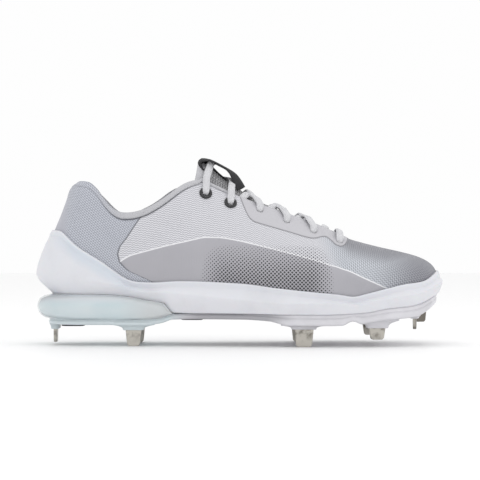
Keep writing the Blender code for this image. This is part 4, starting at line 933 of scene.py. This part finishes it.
def section_normal(x, y, step=0.0008):
    """Unit normal of the same face."""
    along = (section_height(x + step, y) - section_height(x - step, y)) / (2 * step)
    across = (section_height(x, y + step) - section_height(x, y - step)) / (2 * step)
    slope = np.stack([-along, -across, np.ones_like(along)], axis=-1)
    return slope / np.linalg.norm(slope, axis=-1, keepdims=True)


def eyelet_place(index, side):
    """Centre of an eyelet on the outer face and the normal there."""
    x, share = EYELETS[index]
    x = np.float64(x * LENGTH)
    y = ridge_shift(x) + side * share * upper_side(x, side)
    return np.array([x, y, section_height(x, y)]), section_normal(x, y)


def facing(normal):
    """Two unit vectors in the face across a normal: along the shoe and up the side."""
    along = np.array([1.0, 0, 0]) - normal * normal[0]
    along /= np.linalg.norm(along)
    return along, np.cross(normal, along)


def punched(points, faces):
    """The skin with a round hole at each eyelet: faces inside are cut and the edge is drawn to the circle."""
    for index in range(len(EYELETS)):
        radius = TOP_EYELET_RADIUS if index < TOP_EYELETS else EYELET_RADIUS
        for side in (-1, 1):
            centre, normal = eyelet_place(index, side)
            u, v = facing(normal)
            offset = points - centre
            a, b, height = offset @ u, offset @ v, offset @ normal
            away = np.hypot(a, b) + np.where(np.abs(height) < 0.004, 0, 1)
            middle = points[faces].mean(axis=1) - centre
            cut = (np.hypot(middle @ u, middle @ v) < radius) & (np.abs(middle @ normal) < 0.004)
            edge = np.intersect1d(faces[cut], faces[~cut])
            target = np.where(away < radius * 1.2, radius * 1.2, away)
            target[edge] = radius
            moved = (away < 0.01) & (target != away)
            stretch = np.where(moved, target / np.maximum(away, 1e-6) - 1, 0)
            points = points + stretch[:, None] * (a[:, None] * u + b[:, None] * v)
            faces = faces[~cut]
    used, place = np.unique(faces, return_inverse=True)
    return points[used], place.reshape(faces.shape), used


# Its finish: fine wavy ribs on silver, mesh at the heel, film below, pebble at the toe with painted shade
# that darkens the toe's top and front, and a halftone fade of plain dots that are largest low on the side.
DOT_PITCH = 0.0028
skin_finish = Finish("upper_textile", paint(206, 206, 210), 0.62, Sheen_Weight=0.15)
ux = skin_finish.xyz()[0]
f_film, f_seam, f_stay = (skin_finish.field(name) for name in ("film", "seam", "stay"))
f_rim, f_toe_shade, f_cuff = (skin_finish.field(name) for name in ("rim_unit", "toe_part", "cuffed"))
f_girth, f_arc, f_dot = (skin_finish.field(name) for name in ("girth", "arc", "dot_fade"))
cloud, grain = skin_finish.noise(24.0, 4.0), skin_finish.noise(1500.0, 3.0)
is_mesh = 1.0 - f_seam.ramp(-0.0002, 0.0002)
is_film = (1.0 - f_film.ramp(-0.0003, 0.0003)) * (1.0 - is_mesh)
is_stay = f_stay.ramp(-0.0003, 0.0003)
front = ux.ramp(-0.010, 0.030)
wave = (f_arc * 2300.0 + cloud * 5.0).sine() * (1.15 + front * 1.2)
ribs = (f_girth * 3900.0 + wave + cloud * 2.0).sine()
warp = (f_arc * 3400.0).sine()
zigzag = ((f_girth - f_arc) * 2000.0).sine() * 1.3
diamond = ((f_girth + f_arc * 0.9) * 3300.0 + zigzag).sine()
fold = ((f_arc * 0.6 - f_girth) * 2300.0).sine() * 1.5
pebble = ((f_arc + f_girth * 0.8) * 2900.0 + fold + cloud * 4.0).sine()
tint = skin_finish.blend(ribs * 0.5 + 0.5, paint(174, 174, 180), paint(225, 225, 230))
f_skin = skin_finish.field("toe_skin")
pebble_tint = skin_finish.blend(pebble * 0.5 + 0.5, paint(146, 149, 156), paint(208, 212, 219))
tint = skin_finish.blend(f_skin, tint, pebble_tint)
tint = skin_finish.blend(is_film, tint, skin_finish.blend(cloud, paint(160, 159, 165), paint(174, 173, 179)))
# The darker grey of the toe is painted shade.
toe_shade_tint = skin_finish.blend(pebble * 0.5 + 0.5, paint(106, 106, 114), paint(148, 149, 156))
tint = skin_finish.blend(f_toe_shade, tint, toe_shade_tint)
mesh_mix = skin_finish.blend(diamond * 0.5 + 0.5, paint(138, 141, 151), paint(206, 209, 218))
smooth_heel = 1.0 - ux.ramp(-0.1285, -0.1235)
mesh_mix = skin_finish.blend(smooth_heel, mesh_mix, paint(172, 173, 182))
tint = skin_finish.blend(is_mesh, tint, mesh_mix)
tint = skin_finish.blend(is_stay, tint, paint(188, 187, 192))
line_film = 1.0 - (f_film - 0.0002).math("ABSOLUTE").ramp(0.00025, 0.0006)
line_film = line_film * (1.0 - is_mesh) * (1.0 - is_stay)
tint = skin_finish.blend(line_film * (1.0 - f_toe_shade), tint, paint(232, 232, 235))
dots_x, dots_y = f_arc * (math.pi / DOT_PITCH), f_girth * (math.pi / DOT_PITCH)
lattice = ((dots_x + dots_y).sine() * (dots_x - dots_y).sine()).math("ABSOLUTE")
dots = (lattice - (1.0 - f_dot * 0.62)).ramp(-0.04, 0.04) * f_dot.ramp(0.12, 0.2)
tint = skin_finish.blend(dots, tint, paint(34, 34, 38))
line_stay = (1.0 - f_stay.math("ABSOLUTE").ramp(0.0001, 0.0005)) * ux.ramp(-0.006, 0.0) * (1.0 - f_cuff)
tint = skin_finish.blend(line_stay * 0.7, tint, paint(98, 97, 102))
stitch = 1.0 - (f_seam.math("ABSOLUTE")).ramp(0.0003, 0.0008)
tint = skin_finish.blend(stitch * 0.75, tint, paint(88, 90, 96))
f_roll = skin_finish.field("rolled")
binding = (1.0 - f_rim.ramp(0.88, 0.96)) * f_roll
tint = skin_finish.blend(binding, tint, paint(188, 188, 192))
groove = (1.0 - (f_rim - 1.0).math("ABSOLUTE").ramp(0.05, 0.13)) * (f_cuff * 0.3 + f_roll * 0.7)
tint = skin_finish.blend(groove * 0.85, tint, paint(78, 79, 85))
plain = (1.0 - is_film) * (1.0 - f_skin) * (1.0 - is_stay)
textile = ribs * (1.0 - is_mesh) * plain + diamond * is_mesh * (1.0 - smooth_heel)
relief = textile + pebble * f_skin * (1.0 - is_film) * 0.8 + grain * 0.5 + warp * 0.15 - dots * 0.4
gloss = 0.66 - is_film * 0.20 - is_stay * 0.14 + grain * 0.06
skin_finish.wear(tint, gloss, relief, 0.00030, 0.45)
lining_finish = Finish("collar_lining", paint(178, 178, 183), 0.9, Sheen_Weight=0.4)
loops = lining_finish.noise(1800.0, 2.0)
lining_tint = lining_finish.blend(loops, paint(158, 158, 164), paint(196, 196, 201))
lining_finish.wear(lining_tint, height=loops, depth=0.0003)
edge_finish = Finish("cut_edge", paint(150, 150, 154), 0.85)
skin, skin_faces, used = punched(skin, skin_faces)
skin_materials = [finish.material for finish in (skin_finish, lining_finish, edge_finish)]
shell = new_piece("upper_skin", skin, skin_faces, skin_materials)
fade = eased(X, -0.034, -0.010) * (1 - eased(X, 0.050, 0.072)) * (1 - eased(Z, 0.046, 0.082)) * (Z > 0.03)
FIELDS = {
    "film": film, "seam": seam, "stay": stay, "rim_unit": rim_unit, "toe_part": toe_part,
    "cuffed": collar_roll, "rolled": rolled, "toe_skin": toe_skin, "girth": girth.ravel(),
    "arc": np.tile(arc, len(skin_rows)), "dot_fade": fade,
}
for name, values in FIELDS.items():
    put_field(shell, name, values[used])
pad_share = collar_roll * eased(rim_gap, 0.026, 0.010)
thickness = (UPPER_WALL + COLLAR_PAD * pad_share) / (UPPER_WALL + COLLAR_PAD)
group = shell.vertex_groups.new(name="thickness")
for level in np.unique(np.round(thickness, 2)):
    group.add(np.flatnonzero(np.round(thickness[used], 2) == level).tolist(), float(level), "REPLACE")
tidy(shell)
outer_side = min(shell.data.polygons, key=lambda face: face.center[1])
if outer_side.normal[1] > 0:
    shell.data.flip_normals()
wall = shell.modifiers.new("wall", "SOLIDIFY")
wall.thickness, wall.offset = UPPER_WALL + COLLAR_PAD, -1.0
wall.vertex_group = "thickness"
wall.use_rim, wall.material_offset, wall.material_offset_rim = True, 1, 2
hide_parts("upper")


# The tongue: a padded slab that fills the throat from under the vamp to its free top, faced with grey ribbed
# knit and bound at the edge. Its sides lie under the eyestay, and its middle swells up through the throat.
LACE_WIDTH, LACE_THICK, LACE_CLEAR = 0.0054, 0.0022, 0.0010
TONGUE_CLEAR, TONGUE_THICK = 0.0007, 0.0042
# Tongue: x in lengths, height of its front in instep heights, half width as a share of the upper's, thickness
# in tongue thicknesses.
TONGUE = [
    (0.248, 0.625, 0.310, 0.60),
    (0.187, 0.705, 0.400, 0.75),
    (0.147, 0.750, 0.440, 0.85),
    (0.087, 0.812, 0.490, 1.00),
    (0.027, 0.882, 0.570, 1.05),
    (-0.012, 0.950, 0.650, 1.20),
    (-0.050, 1.022, 0.700, 1.50),
    (-0.080, 1.092, 0.670, 1.55),
    (-0.097, 1.118, 0.570, 1.35),
]
tongue_height, tongue_share = curve(TONGUE, 1, INSTEP_HEIGHT), curve(TONGUE, 2)
tongue_thick = curve(TONGUE, 3, TONGUE_THICK)


def tongue_front(x, y):
    """Height of the tongue's front face: under the eyestay by a clearance, swelling up through the throat."""
    depth = UPPER_WALL + 0.0008 + TONGUE_CLEAR
    under = section_height(x, y) - depth / section_normal(x, y)[..., 2]
    middle = ridge_shift(x)
    crown = section_height(x, middle) - depth / section_normal(x, middle)[..., 2]
    lift = np.maximum(tongue_height(x) - crown, 0.0)
    share = np.clip(np.abs(y - middle) / (throat_share(x) * upper_half(x, y) * 0.92), 0, 1)
    return under + lift * (1 - share ** 2) ** 2


def pad(name, front, back, materials):
    """A closed pad between two grids of points with the same rows and columns."""
    rows, columns = front.shape[:2]
    loops = np.concatenate([front, back[:, ::-1]], axis=1)
    ring = 2 * columns
    faces = grid_faces(rows, ring).tolist()
    for j in (0, rows - 1):
        for i in range(columns - 1):
            faces.append((j * ring + i, j * ring + i + 1, j * ring + ring - 2 - i, j * ring + ring - 1 - i))
    return new_piece(name, loops.reshape(-1, 3), faces, materials)


knit_finish = Finish("tongue_textile", paint(160, 160, 162), 0.85, Sheen_Weight=0.3)
k_across, k_along, k_edge = (knit_finish.field(name) for name in ("across", "along", "edge"))
course = (k_along * 3700.0 + (k_across * 2600.0).sine() * 0.8).sine()
wale = (k_across * 4200.0).sine()
knit = course * 0.6 + wale * 0.4
knit_tint = knit_finish.blend(knit * 0.5 + 0.5, paint(98, 98, 101), paint(180, 180, 182))
knit_tint = knit_finish.blend(k_edge, knit_tint, paint(192, 192, 196))
knit_finish.wear(knit_tint, None, knit * (1.0 - k_edge) + knit_finish.noise(1800.0) * 0.4, 0.0005, 0.6)
run = np.linspace(0, 1, 96)
along_x = TONGUE[0][0] * LENGTH + (TONGUE[-1][0] - TONGUE[0][0]) * LENGTH * run
share = np.sin(np.linspace(-math.pi / 2, math.pi / 2, 57))
share = share * 0.35 + np.linspace(-1, 1, 57) * 0.65
grid_x, grid_s = np.meshgrid(along_x, share, indexing="ij")
ridge_y = ridge_shift(grid_x)
grid_y = ridge_y + grid_s * tongue_share(grid_x) * upper_half(grid_x, ridge_y + grid_s)
front = np.stack([grid_x, grid_y, tongue_front(grid_x, grid_y)], axis=-1)
normal = section_normal(grid_x, grid_y)
full = tongue_thick(grid_x)
end = np.sqrt(np.clip(1 - (1 - np.clip((1 - run) / 0.05, 0, 1)) ** 2, 0.02, 1))[:, None]
middle = front - normal * (full / 2)[..., None]
half = full / 2 * np.sqrt(np.clip(1 - np.abs(grid_s) ** 7, 0.02, 1)) * end
rolls = 0.00022 * np.sin(front[..., 1] * 1500.0) * (1 - np.abs(grid_s) ** 8) * end
sweep = 0.0062 * np.abs(grid_s) ** 2 * eased(run, 0.72, 1.0)[:, None]
middle[..., 0] -= sweep
face, lining = middle + normal * (half + rolls)[..., None], middle - normal * half[..., None]
tongue_pad = pad("tongue_pad", face, lining, [knit_finish.material])
at_top = eased(run, 0.955, 0.975)[:, None] * np.ones_like(grid_s)
edge_field = np.maximum(eased(np.abs(grid_s), 0.90, 0.95), at_top)
for name, values in (("across", grid_y), ("along", grid_x), ("edge", edge_field)):
    put_field(tongue_pad, name, np.concatenate([values, values[:, ::-1]], axis=1).ravel())
tidy(tongue_pad)
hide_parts("tongue")


# The label band: a plain black woven tape that stands as an arch over the tongue's top and keeps the laces.
# It is sewn down at both ends, and a ply of the same tape faces the tongue where it starts.
BAND_HALF = 0.090 * BALL_WIDTH
BAND_LINE = [(-0.0285, 0.1270), (-0.0305, 0.1310), (-0.0308, 0.1345), (-0.0290, 0.1366), (-0.0262, 0.1368),
             (-0.0210, 0.1356), (-0.0150, 0.1325), (-0.0086, 0.1291), (-0.0030, 0.1256), (0.0008, 0.1205),
             (0.0034, 0.1158)]
band_finish = Finish("band_textile", paint(24, 24, 27), 0.7)
bx, by, bz = band_finish.xyz()
tape = (by * 4400.0).sine() * (bx * 4400.0 + bz * 2000.0).sine()
band_tint = band_finish.blend(tape * 0.5 + 0.5, paint(10, 10, 12), paint(34, 34, 38))
band_finish.wear(band_tint, None, tape, 0.00025, 0.5)
line = np.array(BAND_LINE)
for _ in range(3):
    quarters = np.stack([line[:-1] * 0.75 + line[1:] * 0.25, line[:-1] * 0.25 + line[1:] * 0.75], axis=1)
    line = np.concatenate([line[:1], quarters.reshape(-1, 2), line[-1:]])
tangent = np.gradient(line, axis=0)
tangent /= np.linalg.norm(tangent, axis=1, keepdims=True)
outward = np.stack([-tangent[:, 1], np.zeros(len(line)), tangent[:, 0]], axis=1)
across = np.linspace(-1, 1, 33)
centre = np.stack([line[:, 0], ridge_shift(line[:, 0]), line[:, 1]], axis=1)
sag = 0.0008 + 0.0052 * eased(line[:, 0], -0.011, 0.001) + 0.0016 * (1 - eased(line[:, 0], -0.027, -0.021))
spread = across[None, :, None] * np.array([0, 1, 0]) * BAND_HALF
drop = -(np.abs(across) ** 2.2)[None, :, None] * sag[:, None, None] * outward[:, None, :]
surface = centre[:, None, :] + spread + drop
selvedge = np.sqrt(np.clip(1 - np.abs(across) ** 14, 0.05, 1))[None, :, None]
half_thick = 0.00055 * selvedge * outward[:, None, :]
label = pad("label_band", surface + half_thick, surface - half_thick, [band_finish.material])
tidy(label)
seat_x, seat_s = np.meshgrid(np.linspace(-0.0285, -0.0100, 28), across, indexing="ij")
seat_y = ridge_shift(seat_x) + seat_s * BAND_HALF * 0.42
seat = np.stack([seat_x, seat_y, tongue_front(seat_x, seat_y) + 0.0005], axis=-1)
ply = pad("label_seat", seat + [0, 0, 0.0003], seat - [0, 0, 0.0004], [band_finish.material])
tidy(ply)
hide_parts("tongue_band")


# The four top eyelets: soft black rubber rings moulded round the punched holes of the top two pairs. The
# lower eyelets are bare holes in the coated eyestay.
RING_WALL = 0.0014
ring_finish = Finish("eyelet_rubber", paint(34, 34, 37), 0.42, Coat_Weight=0.1)
ring_finish.wear(height=ring_finish.noise(900.0), depth=0.0001, strength=0.3)
for index in range(TOP_EYELETS):
    for side, side_name in ((-1, "lateral"), (1, "medial")):
        centre, normal = eyelet_place(index, side)
        u, v = facing(normal)
        turn = np.linspace(0, 2 * math.pi, 48, endpoint=False)
        bead = np.linspace(0, 2 * math.pi, 14, endpoint=False)
        radius = TOP_EYELET_RADIUS + RING_WALL * 0.42
        ring = radius * (np.cos(turn)[:, None] * u + np.sin(turn)[:, None] * v)
        out = ring / radius
        wide, high = (np.cos(bead) * 0.0010)[None, :, None], (np.sin(bead) * 0.0009)[None, :, None]
        tube = centre + normal * 0.0003 + ring[:, None] + out[:, None] * wide + normal * high
        faces = grid_faces(len(turn), len(bead)).tolist()
        last_row, size = (len(turn) - 1) * len(bead), len(bead)
        faces += [(last_row + i, last_row + (i + 1) % size, (i + 1) % size, i) for i in range(size)]
        place = f"{index + 1}_{side_name}"
        eyelet = new_piece("eyelet_" + place, tube.reshape(-1, 3), faces, [ring_finish.material])
        tidy(eyelet)
        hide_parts("eyelet_ring_" + place)


# The lace: one flat braid of light grey that crosses up the throat. It comes out of each eyelet, passes over
# the eyestay's edge and the tongue, and dives under the other edge to the next eyelet. Its ends stop in the
# top eyelets.
TOE_BAR_ROOM, DIVE, TUCKED, STRAP_STEP, BRAID_POINTS = 0.0095, 0.0075, 0.0035, 0.0006, 20
lace_finish = Finish("lace_textile", paint(200, 200, 203), 0.78, Sheen_Weight=0.3)
l_along, l_round = lace_finish.field("along"), lace_finish.field("round")
plait = ((l_along * 3600.0 + l_round * 4200.0).sine()) * ((l_along * 3600.0 - l_round * 4200.0).sine())
lace_tint = lace_finish.blend(plait * 0.5 + 0.5, paint(198, 198, 202), paint(230, 230, 233))
lace_finish.wear(lace_tint, None, plait, 0.00030, 0.6)


def taut(distance, height):
    """The heights of a string pulled tight over a profile: its upper hull."""
    hull = []
    for point in zip(distance, height):
        while len(hull) > 1:
            (ax, ay), (bx, by) = hull[-2], hull[-1]
            if (bx - ax) * (point[1] - ay) - (by - ay) * (point[0] - ax) < 0:
                break
            hull.pop()
        hull.append(point)
    return np.interp(distance, [p[0] for p in hull], [p[1] for p in hull])


def lace_start(index, side, rim=0.0008):
    """Where a strap leaves its eyelet, clear of the eyelet's rim, as x and y."""
    radius = TOP_EYELET_RADIUS + RING_WALL if index < TOP_EYELETS else EYELET_RADIUS
    x, share = EYELETS[index][0] * LENGTH, EYELETS[index][1]
    return np.array([x, ridge_shift(x) + side * (share * upper_side(x, side) - radius - rim)])


def tucked(x, side):
    """A point just inside the throat's edge."""
    return np.array([x, ridge_shift(x) + side * (throat_share(x) * upper_side(x, side) - TUCKED)])


def over(start, goal, hop, climb=0.0):
    """Centre line of a strap drawn tight from start to goal; x follows the length run across the instep.

    It is lifted by hop where it crosses its twin. With climb, x follows the height gained instead.
    """
    share = np.linspace(0, 1, 48)
    y = start[1] + (goal[1] - start[1]) * share
    for _ in range(3):
        x = start[0] + (goal[0] - start[0]) * share
        rim = np.abs(y - ridge_shift(x)) > throat_share(x) * upper_half(x, y) - 0.0010
        below = np.where(rim, section_height(x, y) + 0.0008, tongue_front(x, y))
        z = taut(np.hypot(x - x[0], y - y[0]), below)
        run = np.concatenate([[0], np.cumsum(np.hypot(np.diff(y), np.diff(z)))])
        gained = np.maximum.accumulate(np.maximum(z - z[0], 0))
        share = (1 - climb) * run / run[-1] + climb * gained / max(gained[-1], 1e-6)
    normal = section_normal(x, y)
    meet = np.exp(-((y - ridge_shift(x)) / 0.0045) ** 2)
    return np.stack([x, y, z], axis=1) + normal * (LACE_CLEAR + LACE_THICK / 2 + hop * meet)[:, None], normal


def hole_end(index, side):
    """Three points that carry a strap down through its eyelet, and the normals there."""
    centre, normal = eyelet_place(index, side)
    inward = np.array([0.0, -side, 0.0])
    points = [centre - normal * 0.0060 + inward * 0.0004, centre - normal * 0.0024,
              centre + normal * 0.0009 + inward * 0.0006]
    return np.array(points), np.repeat(normal[None], 3, axis=0)


def under_end(index, side, x):
    """Points that carry a strap under the throat's edge to the next eyelet from below."""
    edge_y = ridge_shift(x) + side * (throat_share(x) * upper_side(x, side) + 0.0026)
    normal = section_normal(np.float64(x), edge_y)
    dip = np.array([x, edge_y, section_height(np.float64(x), edge_y)]) - normal * 0.0042
    centre, up = eyelet_place(index, side)
    return np.array([dip, centre - up * 0.0050]), np.array([normal, up])


def strap(path, normals, narrow_start, narrow_end):
    """Points and faces of a flat oval braid along a path; it narrows where it enters an eyelet."""
    place = np.concatenate([[0], np.cumsum(np.linalg.norm(np.diff(path, axis=0), axis=1))])
    fine = np.linspace(0, place[-1], max(24, int(place[-1] / STRAP_STEP)))
    line = np.stack([np.interp(fine, place, path[:, k]) for k in range(3)], axis=1)
    facing_up = np.stack([np.interp(fine, place, normals[:, k]) for k in range(3)], axis=1)
    kernel = np.exp(-np.linspace(-2, 2, 7) ** 2)
    kernel /= kernel.sum()
    for _ in range(2):
        padded = np.pad(line, ((3, 3), (0, 0)), mode="reflect", reflect_type="odd")
        line = np.stack([np.convolve(padded[:, k], kernel, mode="valid") for k in range(3)], axis=1)
        padded = np.pad(facing_up, ((3, 3), (0, 0)), mode="edge")
        facing_up = np.stack([np.convolve(padded[:, k], kernel, mode="valid") for k in range(3)], axis=1)
    run = np.gradient(line, axis=0)
    run /= np.linalg.norm(run, axis=1, keepdims=True)
    side = np.cross(run, facing_up)
    side /= np.maximum(np.linalg.norm(side, axis=1, keepdims=True), 1e-9)
    for k in range(1, len(side)):
        if side[k] @ side[k - 1] < 0:
            side[k] *= -1
    up = np.cross(side, run)
    at_start, at_end = 1 - eased(fine, 0.0045, 0.0105), eased(fine, place[-1] - 0.009, place[-1] - 0.004)
    pinch = 1 - narrow_start * at_start - narrow_end * at_end
    wide, thick = LACE_WIDTH / 2 * pinch, LACE_THICK / 2 * (1 + 0.5 * (1 - pinch))
    turn = np.linspace(0, 2 * math.pi, BRAID_POINTS, endpoint=False)
    c, s = np.cos(turn), np.sin(turn)
    c, s = np.sign(c) * np.abs(c) ** 0.8, np.sign(s) * np.abs(s) ** 0.62
    ring = (line[:, None] + side[:, None] * (wide[:, None] * c[None])[..., None]
            + up[:, None] * (thick[:, None] * s[None])[..., None])
    faces = grid_faces(len(fine), BRAID_POINTS).tolist()
    last_ring = BRAID_POINTS * (len(fine) - 1)
    faces += [list(range(BRAID_POINTS - 1, -1, -1)), list(range(last_ring, last_ring + BRAID_POINTS))]
    round_the_braid = np.cos(turn) * LACE_WIDTH / 2 + 0.002 * np.abs(turn / math.pi - 1)
    return ring.reshape(-1, 3), faces, (np.repeat(fine, BRAID_POINTS), np.tile(round_the_braid, len(fine)))


def lace_piece(name, node, straps):
    """One piece of lace from several straps."""
    points, faces, along, round_, start = [], [], [], [], 0
    for ring, made, (place, turn) in straps:
        points.append(ring)
        faces += [[start + i for i in face] for face in made]
        along.append(place)
        round_.append(turn)
        start += len(ring)
    piece = new_piece(name, np.concatenate(points), faces, [lace_finish.material])
    put_field(piece, "along", np.concatenate(along))
    put_field(piece, "round", np.concatenate(round_))
    tidy(piece)
    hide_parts(node)


def joined(stretches, narrow_start, narrow_end):
    """A strap along stretches of (points, normals) that follow one another."""
    lines, ups = zip(*stretches)
    return strap(np.concatenate(lines), np.concatenate(ups), narrow_start, narrow_end)


def straight_strap(index, narrow):
    """A strap straight across the instep, down through both eyelets of a pair."""
    end, end_up = hole_end(index, 1)
    middle = over(lace_start(index, -1), lace_start(index, 1), 0.0)
    return joined([hole_end(index, -1), middle, (end[::-1], end_up)], narrow, narrow)


toe = len(EYELETS) - 1
for index in range(toe, TOP_EYELETS - 1, -1):
    straps = []
    for side in (-1, 1):
        hop = (0.0011 if (index % 2 == 0) == (side < 0) else -0.0007)
        ahead = EYELETS[index - 1][0] * LENGTH + DIVE
        if index == toe:
            behind = EYELETS[toe][0] * LENGTH - TOE_BAR_ROOM
            begin, begin_up = under_end(toe, side, behind)
            begin, begin_up, start = begin[::-1], begin_up[::-1], tucked(behind, side)
        else:
            begin, begin_up = hole_end(index, side)
            start = lace_start(index, side)
        middle = over(start, tucked(ahead, -side), hop)
        straps.append(joined([(begin, begin_up), middle, under_end(index - 1, -side, ahead)],
                             0.0 if index == toe else 0.30, 0.1))
    lace_piece(f"lace_{index}", f"lace_crossing_{index}", straps)
lace_piece("lace_bar", "lace_toe_bar", [straight_strap(toe, 0.3)])
straps = [straight_strap(1, 0.2)]
keeper = np.array([EYELETS[1][0] * LENGTH, ridge_shift(EYELETS[1][0] * LENGTH)])
for side in (-1, 1):
    middle = over(lace_start(0, side), keeper + (0.0010, -side * 0.001), 0.0008, 0.85)
    straps.append(joined([hole_end(0, side), middle], 0.2, 0.0))
lace_piece("lace_top_run", "lace_top", straps)
